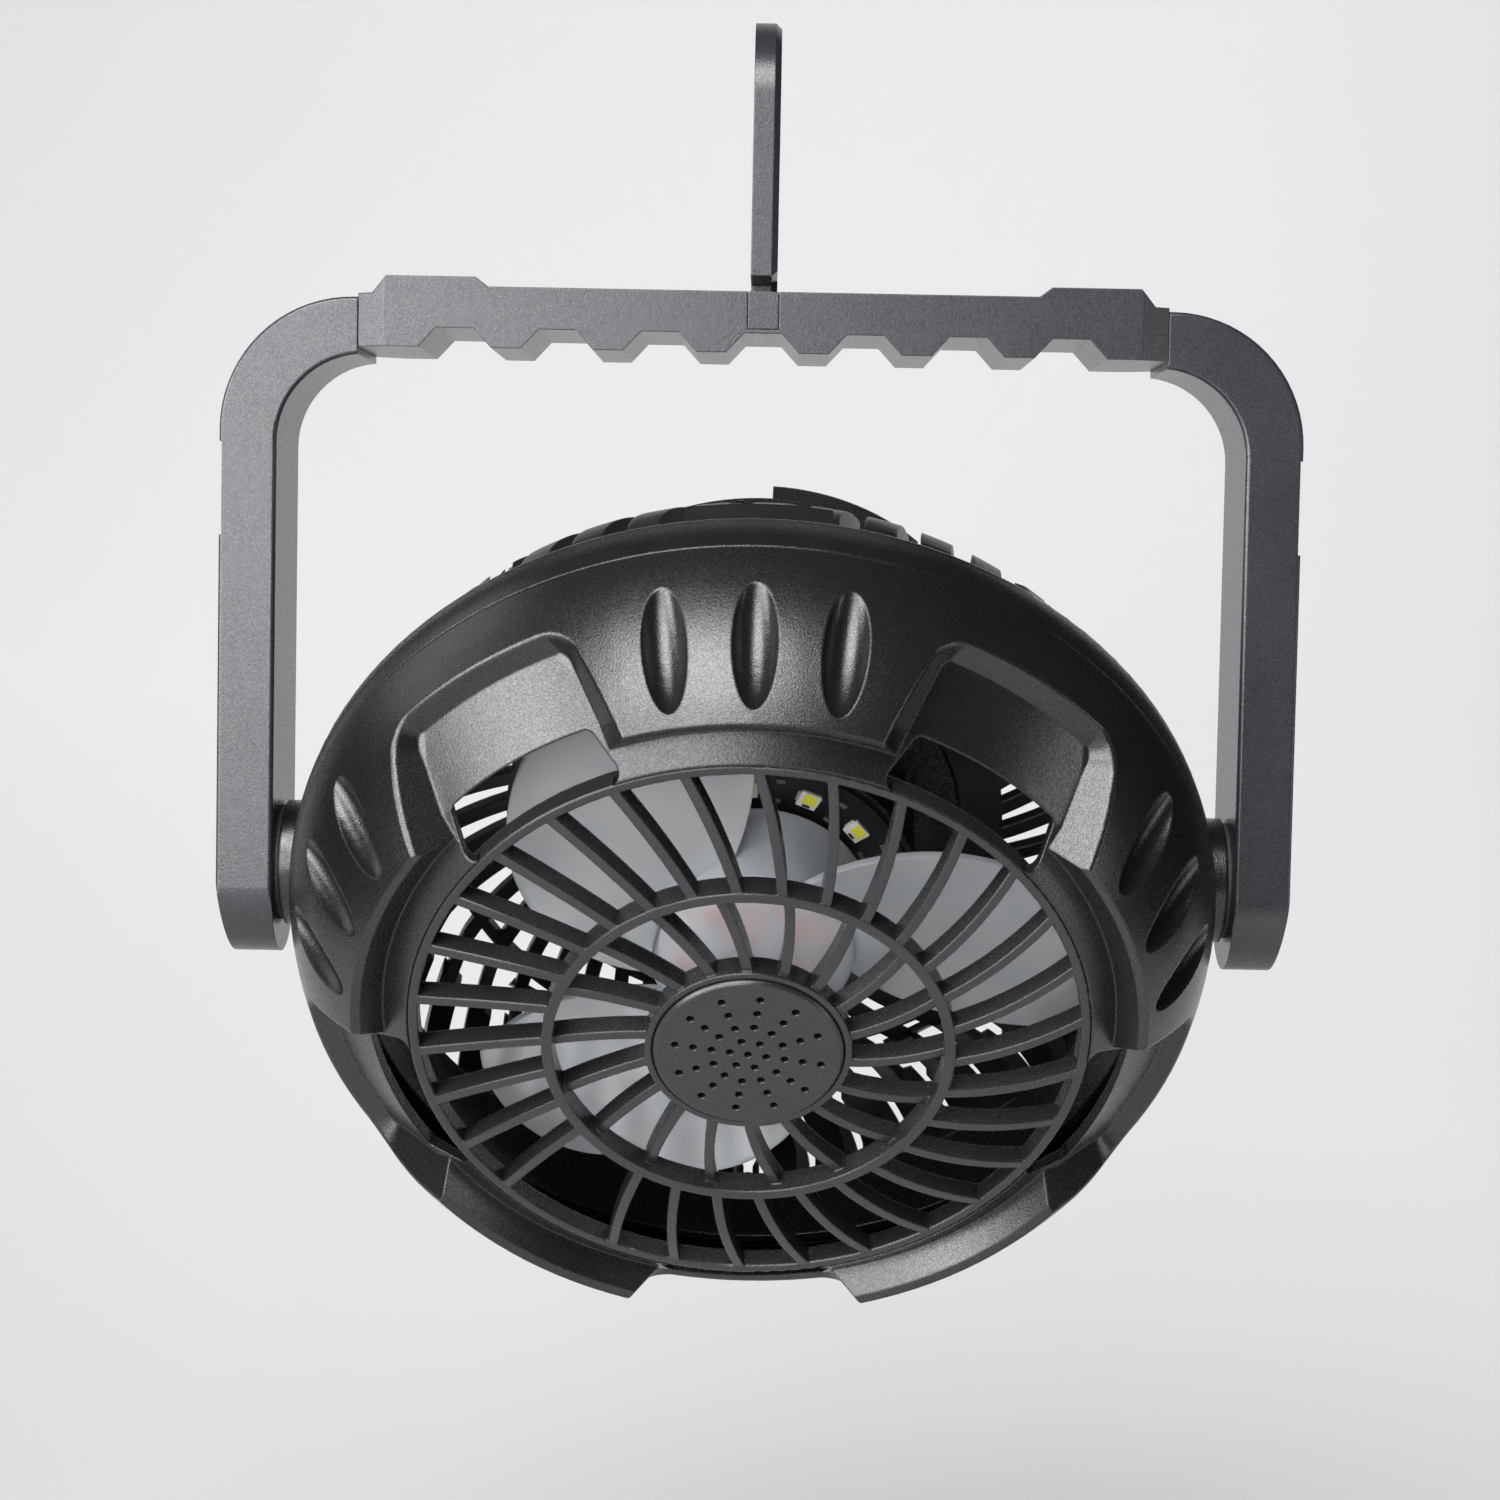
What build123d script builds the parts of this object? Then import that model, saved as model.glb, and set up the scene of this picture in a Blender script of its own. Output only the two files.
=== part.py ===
from build123d import *
from math import atan, cos, degrees, radians, sin, sqrt, tan
import os

os.makedirs("parts", exist_ok=True)

# Portable camping fan hanging by its hook, in millimetres.
# The origin is the point where the hook rests on a rod. +Z is up and the face looks towards -Y.
# Heights of the bail and the hook are measured upwards from the axis on which the head tilts.
# Heights of the head are measured forwards along the head's own axis from that same tilt axis.

# Placement
HOOK_TO_PIVOT = 168.0
HEAD_TILT = 33.8

# Clearances
RUNNING = 0.05
FIT = 0.1
MOVING_GAP = 0.3

# Bail
BAIL_WIDTH = 220.0
BAIL_DEPTH = 29.0
LEG_THICKNESS = 11.6
ARM_TOP = 116.6
ARM_THICKNESS = 11.5
BAIL_OUTER_RADIUS = 27.0
BAIL_INNER_RADIUS = 18.0
LEG_ROUND_DROP = 4.1
LEG_TAPER_DEPTH = 2.3
LEG_TAPER_HEIGHT = 15.6
LEG_PAD_DEPTH = 0.6
LEG_PAD_BOTTOM = 68.0
LEG_PAD_HEIGHT = 19.0
BAIL_EDGE = 0.8

# Grip
GRIP_DEPTH = 35.0
GRIP_HALF_LENGTH = 82.0
GRIP_BEVEL = 5.5
GRIP_TOP = 118.8
GRIP_BOTTOM = 106.5
GRIP_END_TOP = 117.3
SHOULDER_TOP = 120.7
SHOULDER_INNER = 58.0
SHOULDER_OUTER = 76.0
SHOULDER_INNER_RUN = 2.5
SHOULDER_OUTER_RUN = 3.0
NOTCH_COUNT = 7
NOTCH_PITCH = 20.7
NOTCH_FLAT = 7.5
NOTCH_RUN = 3.6
NOTCH_RISE = 3.9
GRIP_FLOOR = 1.5
CORE_DEPTH = 26.6
GRIP_SCREW_RADIUS = 1.5
GRIP_SCREW_SPACING = 31.0
GRIP_SCREW_LENGTH = 22.0

# Hook
HOOK_THICKNESS = 5.4
HOOK_PIN_RADIUS = 1.25
HOOK_PIN_LENGTH = 18.0
HOOK_PIN_HEIGHT = 114.7
HOOK_EYE_RADIUS = 3.1
HOOK_INNER_RADIUS = 10.0
HOOK_WIDTH = 7.0
HOOK_NECK_TOP = 121.4
HOOK_JOG_RISE = 0.6
HOOK_SHANK_FOOT = 128.5
HOOK_THROAT_DROP = 3.5
HOOK_TIP_LENGTH = 6.0
HOOK_CHAMFER = 1.2
COVER_BLOCK_WIDTH = 6.2

# Pivots
BOSS_RADIUS = 13.0
BOSS_INNER = 88.6
WASHER_THICKNESS = 0.8
WASHER_RADIUS = 12.0
BOLT_RADIUS = 4.0
BOLT_HEAD_RADIUS = 6.4
BOLT_HEAD_HEIGHT = 2.6
BOLT_SEAT = 103.6
PIVOT_CAP_THICKNESS = 1.4
PIVOT_CAP_SINK = 0.7

# Head shell
RIM_RADIUS = 94.6
RIM_TOP_HEIGHT = 14.0
RIM_ROUND = 2.4
PARTING_RADIUS = 94.1
PARTING_HEIGHT = 19.8
DOME_MID_RADIUS = 90.0
DOME_MID_HEIGHT = 33.0
LIP_RADIUS = 77.6
LIP_HEIGHT = 52.7
LIP_BEVEL = 1.6
LOBE_FOOT_RADIUS = 72.0
LOBE_FOOT_HEIGHT = 47.0
FLOOR_KNEE_RADIUS = 75.6
FLOOR_KNEE_HEIGHT = 44.0
FLOOR_END_RADIUS = 85.7
FLOOR_END_HEIGHT = 32.1
SHELL_WALL = 2.4
LOBE_COUNT = 5
WINDOW_HALF_WIDTH = 18.0
WINDOW_DRAFT = 42.0
WINDOW_CORNER = 4.0
WINDOW_DEPTH = 14.0
SILL_WIDTH = 4.0
SILL_DROP = 0.3
WINDOW_ROUND = 1.0
SLOT_OUTER_HALF_ANGLE = 12.5
SLOT_INNER_HALF_ANGLE = 16.0
SLOT_CORNER = 1.8
DIMPLE_PITCH = 11.0
DIMPLE_LENGTH = 29.8
DIMPLE_WIDTH = 8.8
DIMPLE_SINK = 2.6
DIMPLE_RADIUS = 86.5
DIMPLE_HEIGHT = 38.6
RIM_REAR_RADIUS = 92.4
RIM_REAR_HEIGHT = 9.0
DUCT_RADIUS = 80.0
DUCT_WALL = 2.0
DUCT_FRONT = 28.0
SHELL_POST_RADIUS = 3.3
GUARD_POST_RADIUS = 2.7
SHELL_POST_CIRCLE = 86.5
SHELL_POST_MEET = 15.0
SHELL_SCREW_RADIUS = 1.3
SHELL_SCREW_LENGTH = 16.0
SCREW_SEAT = 1.5

# Front grille
RING_RADIUS = 66.9
RING_HEIGHT = 51.1
RING_WIDTH = 2.2
RING_DEPTH = 4.5
MID_RING_RADIUS = 40.3
MID_RING_WIDTH = 2.1
MID_RING_HEIGHT = 55.6
MID_RING_DEPTH = 5.2
HUB_RADIUS = 20.2
HUB_HEIGHT = 55.2
HUB_DEPTH = 5.0
HUB_FLOOR = 1.4
BAR_WIDTH = 2.0
BAR_DEPTH = 4.5
BAR_BULGE = 0.8
OUTER_BAR_COUNT = 30
OUTER_BAR_START = 0.9
OUTER_BAR_SWEEP = 7.8
INNER_BAR_COUNT = 18
INNER_BAR_START = 10.4
INNER_BAR_SWEEP = 9.0
INNER_BAR_DROP = 4.4
CAP_RADIUS = 18.6
CAP_HEIGHT = 56.0
CAP_TOP = 1.8
CAP_EDGE = 0.6
CAP_HOLE_RADIUS = 0.8
CAP_HOLE_PITCH = 3.6
CAP_HOLE_TURN = 8.8

# Rear guard
GUARD_REAR = -20.0
GUARD_PLATE = 2.6
GUARD_RING_RADIUS = 87.2
GUARD_RING_WIDTH = 4.7
GUARD_RING_DEPTH = 2.4
GUARD_WALL_RADIUS = 88.0
GUARD_WALL_END = -1.0
GUARD_SHOULDER_RADIUS = 83.4
GUARD_SHOULDER_HEIGHT = -12.0
GUARD_INNER_SHOULDER_RADIUS = 79.8
GUARD_INNER_SHOULDER_HEIGHT = -10.4
GUARD_FLAT_RADIUS = 72.0
GUARD_BAR_DEPTH = 4.0
GUARD_BAR_COUNT = 48
GUARD_BAR_WIDTH = 3.5
GUARD_BAR_SWEEP = 18.5
GUARD_BUMP_WIDTH = 6.6
GUARD_BUMP_RADIUS = 79.0
PAD_SLOPE = 37.2
PAD_LEVEL = 71.2
PAD_WIDTH = 28.6
PAD_THICKNESS = 2.6
GUARD_MID_RADIUS = 68.0
GUARD_MID_WIDTH = 2.4
GUARD_HUB_RADIUS = 53.0
GUARD_HUB_INNER = 44.0

# Drum
DRUM_RADIUS = 51.0
DRUM_WALL = 2.2
DRUM_REAR = -65.0
DRUM_FRONT_WALL = 2.4
DRUM_MOUTH = 24.0
COVER_RECESS = 5.0
COVER_PLATE = 2.4
FOOT_HEIGHT = 5.0
FOOT_WIDTH = 6.5
FOOT_COUNT = 3
FOOT_START = 3.0
FOOT_ANGLE = 40.0
SLIT_WIDTH = 1.7
SLIT_PITCH = 4.7
SLIT_COUNT = 14
SLIT_START = 8.0
SLIT_RIM = 0.8
DRUM_POST_CIRCLE = 45.0
DRUM_POST_RADIUS = 3.2
SMALL_SCREW_RADIUS = 1.25
COVER_SCREW_GRIP = 8.0

# Motor pod and motor
POD_RADIUS = 34.0
POD_WALL = 2.0
POD_FLANGE_RADIUS = 43.6
POD_FLANGE = 2.4
POD_FRONT = 4.8
POD_PLATE = 2.4
POD_SCREW_CIRCLE = 38.0
POD_SCREW_COUNT = 3
BEARING_TUBE_RADIUS = 6.0
BEARING_TUBE_TOP = 24.0
BEARING_RADIUS = 4.0
BEARING_LENGTH = 4.0
SHAFT_RADIUS = 1.5
SHAFT_CLIP_RADIUS = 3.0
SHAFT_CLIP_THICKNESS = 0.6
STATOR_RADIUS = 17.2
STATOR_BOTTOM = 11.0
STATOR_HEIGHT = 9.0
STATOR_HUB = 8.4
TOOTH_COUNT = 9
TOOTH_WIDTH = 3.0
SHOE_THICKNESS = 1.4
SHOE_SHARE = 0.8
COIL_THICKNESS = 1.1
COIL_INSET = 1.0
MAGNET_THICKNESS = 1.0
MAGNET_HEIGHT = 11.0
YOKE_THICKNESS = 0.8
AIR_GAP = 0.4

# Light ring
LED_BOARD_INNER = 21.0
LED_BOARD_OUTER = 32.5
LED_BOARD_THICKNESS = 1.2
LED_COUNT = 13
LED_CIRCLE = 26.6
LED_START = -3.0
LED_LENGTH = 4.2
LED_WIDTH = 3.6
LED_HEIGHT = 0.8

# Impeller
ROTOR_HUB_RADIUS = 24.0
ROTOR_HUB_TOP_RADIUS = 20.8
ROTOR_HUB_BOTTOM = 9.0
ROTOR_HUB_SHOULDER = 26.5
ROTOR_HUB_TOP = 31.0
ROTOR_HUB_WALL = 1.1
ROTOR_HUB_DOME_RADIUS = 15.0
ROTOR_HUB_DOME_HEIGHT = 29.8
BLADE_COUNT = 3
BLADE_TURN = 0.0
BLADE_MIDDLE = -40.0
BLADE_PITCH = 15.0
BLADE_REACH = 58.0
BLADE_HEIGHT = 22.5
BLADE_CAMBER = 2.0
BLADE_THICKNESS = 1.8
BLADE_TIP_RADIUS = 75.5
# Radii and angles along the leading edge, the tip and the trailing edge of a blade
BLADE_LEADING = [(19.5, -98.0), (48.0, -69.0), (68.5, -33.0)]
BLADE_TIP = [(68.5, -33.0), (BLADE_TIP_RADIUS, -18.0), (70.5, -5.0)]
BLADE_TRAILING = [(70.5, -5.0), (45.0, 0.5), (19.5, -14.0)]

# Electronics
CELL_COUNT = 3
CELL_RADIUS = 9.2
CELL_LENGTH = 65.0
CELL_GAP = 0.4
HOLDER_PLATE = 2.0
HOLDER_WIDTH = 72.0
BOARD_THICKNESS = 1.6
BOARD_WIDTH = 56.0
BOARD_HEIGHT = 78.0
BOARD_CORNER = 3.0
BOARD_TAB_WIDTH = 14.0
BOARD_TAB_REACH = 45.0
BOARD_POST_X = 22.0
BOARD_POST_Y = 32.0
BOARD_POST_RADIUS = 2.5
BOARD_SCREW_GRIP = 7.0
# Coil and chips: place across and up, width, height and thickness
BOARD_CHIPS = [(-16, 22, 9, 9, 3.4), (14, 20, 7, 7, 1.2), (16, -16, 6, 5, 1.6), (-14, -18, 8, 6, 1.4),
               (2, 28, 4, 5, 2.0)]
CAPACITOR_PLACES = [(-2, 15), (6, -26)]
CAPACITOR_RADIUS = 3.0
CAPACITOR_HEIGHT = 3.2
BUTTON_BOARD_THICKNESS = 1.2
BUTTON_BOARD_LENGTH = 56.0
BUTTON_BOARD_WIDTH = 18.0
BUTTON_SPACING = 17.0
BUTTON_RADIUS = 5.5
BUTTON_FLANGE_RADIUS = 6.3
BUTTON_FLANGE = 1.1
BUTTON_PROUD = 2.0
BUTTON_TRAVEL = 0.8
SWITCH_SIZE = 6.0
SWITCH_HEIGHT = 3.0
PLUNGER_RADIUS = 1.7
PLUNGER_HEIGHT = 0.6
PORT_WIDTH = 9.0
PORT_HEIGHT = 3.2
PORT_LENGTH = 7.5
PORT_SHELL = 0.35
LENS_COUNT = 4
LENS_RADIUS = 1.2
LENS_PITCH = 5.0
LENS_DROP = 14.0
LENS_DEPTH = 0.4

# Frames of reference
PIVOT = Vector(0, 0, -HOOK_TO_PIVOT)
FORWARD = Vector(0, -cos(radians(HEAD_TILT)), -sin(radians(HEAD_TILT)))
UPWARD = Vector(0, -sin(radians(HEAD_TILT)), cos(radians(HEAD_TILT)))
SIDEWAYS = Vector(1, 0, 0)
HEAD_AXIS = Axis(PIVOT, FORWARD)
FRONT = Plane(origin=PIVOT, x_dir=(1, 0, 0), z_dir=(0, -1, 0))
SIDE = Plane(origin=PIVOT, x_dir=(0, 1, 0), z_dir=(1, 0, 0))
SIDES = (-1, 1)

# Sizes that follow from the ones above
LEG_INNER = BAIL_WIDTH / 2 - LEG_THICKNESS
LEG_BOTTOM = -LEG_ROUND_DROP - BAIL_DEPTH / 2
CORE_BOTTOM = GRIP_BOTTOM + NOTCH_RISE + GRIP_FLOOR + FIT
SLOT_HALF_WIDTH = HOOK_THICKNESS / 2 + MOVING_GAP
SLOT_FLOOR = HOOK_PIN_HEIGHT - HOOK_EYE_RADIUS - MOVING_GAP
SLOT_FRONT = -HOOK_EYE_RADIUS - MOVING_GAP
GRIP_SCREW_HEIGHT = (CORE_BOTTOM + ARM_TOP) / 2
BOSS_FACE = LEG_INNER - WASHER_THICKNESS - MOVING_GAP
DRUM_INNER = DRUM_RADIUS - DRUM_WALL
DRUM_FLOOR = GUARD_REAR - DRUM_FRONT_WALL
COVER_FACE = DRUM_REAR + COVER_RECESS
COVER_INNER = COVER_FACE + COVER_PLATE
FOOT_END = DRUM_REAR - FOOT_HEIGHT
CELL_LAYER = DRUM_FLOOR - HOLDER_PLATE - CELL_RADIUS - FIT
CELL_PITCH = 2 * CELL_RADIUS + CELL_GAP
BOARD_FRONT = CELL_LAYER - CELL_RADIUS - 4 * CELL_GAP
BOARD_REAR = BOARD_FRONT - BOARD_THICKNESS
BUTTON_FLANGE_REAR = COVER_INNER + MOVING_GAP
BUTTON_FLANGE_FRONT = BUTTON_FLANGE_REAR + BUTTON_FLANGE
PLUNGER_END = BUTTON_FLANGE_FRONT + BUTTON_TRAVEL + FIT
BUTTON_BOARD_REAR = PLUNGER_END + PLUNGER_HEIGHT + SWITCH_HEIGHT
BUTTON_BOARD_FRONT = BUTTON_BOARD_REAR + BUTTON_BOARD_THICKNESS
LED_BOARD_TOP = POD_FRONT + LED_BOARD_THICKNESS
MAGNET_OUTER = STATOR_RADIUS + AIR_GAP + MAGNET_THICKNESS
YOKE_OUTER = MAGNET_OUTER + YOKE_THICKNESS
SHAFT_FOOT = POD_FRONT - POD_PLATE
HUB_CEILING = ROTOR_HUB_TOP - 2 * ROTOR_HUB_WALL


def face(height):
    """Plane across the head's axis, at a height in front of the tilt axis."""
    return Plane(origin=PIVOT + FORWARD * height, x_dir=SIDEWAYS, z_dir=FORWARD)


def outward(angle):
    """Direction away from the head's axis, at an angle clockwise from the top."""
    return SIDEWAYS * sin(radians(angle)) + UPWARD * cos(radians(angle))


def section(angle):
    """Plane through the head's axis: local x is the radius and local y the height."""
    return Plane(origin=PIVOT, x_dir=outward(angle), z_dir=outward(angle).cross(FORWARD))


def spot(radius, angle, height):
    """Plane across the head's axis, centred at a radius and an angle."""
    place = PIVOT + FORWARD * height + outward(angle) * radius
    return Plane(origin=place, x_dir=outward(angle), z_dir=FORWARD)


def across(angle, radius):
    """Point of a face plane at an angle clockwise from the top."""
    return (radius * sin(radians(angle)), radius * cos(radians(angle)))


def side_spot(x, height):
    """Plane across the X axis, at a height above the tilt axis."""
    return Plane(origin=PIVOT + Vector(x, 0, height), x_dir=(0, 1, 0), z_dir=(1, 0, 0))


def flip(plane):
    """The same plane looking the other way."""
    return Plane(origin=plane.origin, x_dir=plane.x_dir, z_dir=-plane.z_dir)


def disc(plane, radius, depth, mode=Mode.ADD):
    """Round plate or hole that grows from a plane along its normal."""
    with BuildSketch(plane) as profile:
        Circle(radius)
    extrude(profile.sketch, amount=depth, mode=mode)


def tube(plane, outer, inner, depth, mode=Mode.ADD):
    """Round sleeve that grows from a plane along its normal."""
    with BuildSketch(plane) as profile:
        Circle(outer)
        Circle(inner, mode=Mode.SUBTRACT)
    extrude(profile.sketch, amount=depth, mode=mode)


def block(plane, width, height, depth, mode=Mode.ADD):
    """Rectangular plate or pocket that grows from a plane along its normal."""
    with BuildSketch(plane) as profile:
        Rectangle(width, height)
    extrude(profile.sketch, amount=depth, mode=mode)


def turned(points, mode=Mode.ADD):
    """Ring about the head's axis with a cross-section of straight lines."""
    with BuildSketch(section(90)) as profile:
        with BuildLine():
            Polyline(*points, close=True)
        make_face()
    revolve(profile.sketch, axis=HEAD_AXIS, mode=mode)


def screw(seat, radius, length):
    """Pan-head screw: the head stands on the seat plane and the shank goes below it."""
    head_height = 1.1 * radius
    disc(seat, 1.8 * radius, head_height)
    disc(flip(seat), radius, length)
    for width, height in ((2.2 * radius, 0.5 * radius), (0.5 * radius, 2.2 * radius)):
        block(seat.offset(head_height), width, height, -0.6 * radius, mode=Mode.SUBTRACT)


def swirl_bar(plane, start_angle, outer, inner, sweep, width, depth, mode=Mode.ADD):
    """Curved bar between two radii, which turns by the sweep on its way inwards."""
    middle = (outer + inner) / 2
    ends = []
    for side in SIDES:
        points = []
        for radius, share in ((outer, 0), (middle, 0.5), (inner, 1)):
            spread = degrees(side * width / 2 / radius)
            points.append(across(start_angle + sweep * share + spread, radius))
        ends.append(points)
    near, far = ends
    with BuildSketch(plane) as profile:
        with BuildLine():
            ThreePointArc(*near)
            Line(near[2], far[2])
            ThreePointArc(far[2], far[1], far[0])
            Line(far[0], near[0])
        make_face()
    extrude(profile.sketch, amount=depth, mode=mode)


# ---------------------------------------------------------------- bail

GRIP_SCREW_PLACES = [side * GRIP_SCREW_SPACING * share for side in SIDES for share in (1, 2)]
SEAT_OF_GRIP_SCREW = GRIP_DEPTH / 2 - 2 * GRIP_SCREW_RADIUS


def grip_screw_hole(radius, start, end):
    """Screw holes through the grip along Y, between two depths behind the pivot axis."""
    for place in GRIP_SCREW_PLACES:
        plane = Plane(
            origin=PIVOT + Vector(place, start, GRIP_SCREW_HEIGHT), x_dir=(1, 0, 0), z_dir=(0, 1, 0)
        )
        disc(plane, radius, end - start, mode=Mode.SUBTRACT)


def hook_slot(front):
    """Slot for the hook's eye and neck, open at the top and at the rear."""
    with BuildSketch(FRONT.offset(-front)) as profile:
        with Locations((0, (SLOT_FLOOR + SHOULDER_TOP + GRIP_DEPTH) / 2)):
            Rectangle(2 * SLOT_HALF_WIDTH, SHOULDER_TOP + GRIP_DEPTH - SLOT_FLOOR)
    extrude(profile.sketch, amount=-GRIP_DEPTH, mode=Mode.SUBTRACT)


with BuildPart() as handle_frame:
    with BuildSketch(FRONT) as outer_shape:
        with Locations((0, (ARM_TOP + LEG_BOTTOM) / 2)):
            Rectangle(BAIL_WIDTH, ARM_TOP - LEG_BOTTOM)
        fillet(outer_shape.vertices().group_by(Axis.Y)[-1], BAIL_OUTER_RADIUS)
    extrude(amount=BAIL_DEPTH / 2, both=True)
    with BuildSketch(FRONT) as inner_shape:
        with Locations((0, (ARM_TOP - ARM_THICKNESS + LEG_BOTTOM) / 2)):
            Rectangle(2 * LEG_INNER, ARM_TOP - ARM_THICKNESS - LEG_BOTTOM)
        fillet(inner_shape.vertices().group_by(Axis.Y)[-1], BAIL_INNER_RADIUS)
    extrude(amount=BAIL_DEPTH, both=True, mode=Mode.SUBTRACT)
    fillet(handle_frame.edges().filter_by_position(Axis.Y, -BAIL_DEPTH, -BAIL_DEPTH / 2 + FIT)
           .group_by(Axis.Z)[1:], BAIL_EDGE)
    fillet(handle_frame.edges().filter_by_position(Axis.Y, BAIL_DEPTH / 2 - FIT, BAIL_DEPTH)
           .group_by(Axis.Z)[1:], BAIL_EDGE)
    # Rounded feet of the legs
    with BuildSketch(SIDE):
        with Locations((0, -LEG_ROUND_DROP)):
            Circle(BAIL_DEPTH / 2)
        with Locations((0, (ARM_TOP - LEG_ROUND_DROP) / 2)):
            Rectangle(BAIL_DEPTH, ARM_TOP + LEG_ROUND_DROP)
    extrude(amount=BAIL_WIDTH, both=True, mode=Mode.INTERSECT)
    for side in SIDES:
        # The outer face leans in towards the foot and has one shallow pad
        edge = side * BAIL_WIDTH / 2
        with BuildSketch(FRONT) as lean:
            with BuildLine():
                Polyline(
                    (edge, LEG_BOTTOM + LEG_TAPER_HEIGHT),
                    (edge + side, LEG_BOTTOM + LEG_TAPER_HEIGHT),
                    (edge + side, LEG_BOTTOM - 1),
                    (edge - side * LEG_TAPER_DEPTH, LEG_BOTTOM - 1),
                    close=True,
                )
            make_face()
            with Locations((edge, LEG_PAD_BOTTOM + LEG_PAD_HEIGHT / 2)):
                Rectangle(2 * LEG_PAD_DEPTH, LEG_PAD_HEIGHT)
        extrude(amount=BAIL_DEPTH, both=True, mode=Mode.SUBTRACT)
        # Bore of the pivot, with a counterbore for the bolt's head
        disc(SIDE, BOLT_RADIUS + RUNNING, side * BAIL_WIDTH, mode=Mode.SUBTRACT)
        disc(SIDE.offset(side * BOLT_SEAT), BOLT_HEAD_RADIUS + MOVING_GAP,
             side * BAIL_WIDTH, mode=Mode.SUBTRACT)
    # Slim core that the grip closes around
    block(Plane(origin=PIVOT + Vector(0, 0, CORE_BOTTOM), z_dir=(0, 0, -1)),
          2 * GRIP_HALF_LENGTH + 2 * FIT, GRIP_DEPTH, CORE_BOTTOM / 2, mode=Mode.SUBTRACT)
    for side in SIDES:
        block(FRONT.offset(side * CORE_DEPTH / 2), 2 * GRIP_HALF_LENGTH + 2 * FIT,
              2 * GRIP_TOP, side * GRIP_DEPTH, mode=Mode.SUBTRACT)
    hook_slot(SLOT_FRONT)
    disc(side_spot(-HOOK_PIN_LENGTH / 2, HOOK_PIN_HEIGHT),
         HOOK_PIN_RADIUS, HOOK_PIN_LENGTH, mode=Mode.SUBTRACT)
    grip_screw_hole(GRIP_SCREW_RADIUS + FIT, -GRIP_DEPTH, GRIP_DEPTH)
handle_frame.part.label = "handle_frame"
export_step(handle_frame.part, "parts/handle_frame.step")


def grip_outline():
    """Outline of the grip from the front, with finger notches below and raised shoulders above."""
    notch_end = NOTCH_FLAT / 2 + NOTCH_RUN
    points = [(-GRIP_HALF_LENGTH, GRIP_BOTTOM)]
    for index in range(NOTCH_COUNT):
        centre = (index - (NOTCH_COUNT - 1) / 2) * NOTCH_PITCH
        points.append((centre - notch_end, GRIP_BOTTOM))
        points.append((centre - NOTCH_FLAT / 2, GRIP_BOTTOM + NOTCH_RISE))
        points.append((centre + NOTCH_FLAT / 2, GRIP_BOTTOM + NOTCH_RISE))
        points.append((centre + notch_end, GRIP_BOTTOM))
    points.append((GRIP_HALF_LENGTH, GRIP_BOTTOM))
    half_top = [
        (GRIP_HALF_LENGTH, GRIP_END_TOP),
        (SHOULDER_OUTER + SHOULDER_OUTER_RUN, GRIP_END_TOP),
        (SHOULDER_OUTER, SHOULDER_TOP),
        (SHOULDER_INNER, SHOULDER_TOP),
        (SHOULDER_INNER - SHOULDER_INNER_RUN, GRIP_TOP),
    ]
    points += half_top
    points += [(-x, z) for x, z in reversed(half_top)]
    return points


def grip_half(side):
    """Half of the grip: side is -1 for the front half and 1 for the rear half."""
    with BuildSketch(FRONT) as outline:
        with BuildLine():
            Polyline(*grip_outline(), close=True)
        make_face()
    extrude(outline.sketch, amount=-side * GRIP_DEPTH / 2)
    # Ends slope back to the bail's own face
    for end in SIDES:
        with BuildSketch(Plane(origin=PIVOT, x_dir=(1, 0, 0), z_dir=(0, 0, 1))) as slope:
            with BuildLine():
                Polyline(
                    (end * (GRIP_HALF_LENGTH - GRIP_BEVEL), side * GRIP_DEPTH / 2),
                    (end * (GRIP_HALF_LENGTH + 1), side * GRIP_DEPTH / 2),
                    (end * (GRIP_HALF_LENGTH + 1), side * BAIL_DEPTH / 2),
                    (end * GRIP_HALF_LENGTH, side * BAIL_DEPTH / 2),
                    close=True,
                )
            make_face()
        extrude(slope.sketch, amount=2 * SHOULDER_TOP, mode=Mode.SUBTRACT)
    # Channel for the core of the bail
    with BuildSketch(FRONT) as channel:
        with Locations((0, (CORE_BOTTOM + ARM_TOP) / 2)):
            Rectangle(3 * GRIP_HALF_LENGTH, ARM_TOP - CORE_BOTTOM + 2 * FIT)
    extrude(channel.sketch, amount=-side * (CORE_DEPTH / 2 + FIT), mode=Mode.SUBTRACT)


with BuildPart() as grip_front:
    grip_half(-1)
    hook_slot(SLOT_FRONT)
    with BuildSketch(FRONT.offset(CORE_DEPTH / 2)) as cover_notch:
        with Locations((0, (SLOT_FLOOR + SHOULDER_TOP) / 2)):
            Rectangle(COVER_BLOCK_WIDTH + 2 * FIT, SHOULDER_TOP - SLOT_FLOOR + 2 * FIT)
    extrude(amount=GRIP_DEPTH, mode=Mode.SUBTRACT)
    grip_screw_hole(GRIP_SCREW_RADIUS, SEAT_OF_GRIP_SCREW - GRIP_SCREW_LENGTH - 1, 0)
grip_front.part.label = "grip_front"
export_step(grip_front.part, "parts/grip_front.step")

with BuildPart() as grip_rear:
    grip_half(1)
    hook_slot(SLOT_FRONT)
    grip_screw_hole(GRIP_SCREW_RADIUS + FIT, 0, GRIP_DEPTH)
    grip_screw_hole(2 * GRIP_SCREW_RADIUS, SEAT_OF_GRIP_SCREW, GRIP_DEPTH)
grip_rear.part.label = "grip_rear"
export_step(grip_rear.part, "parts/grip_rear.step")

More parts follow.
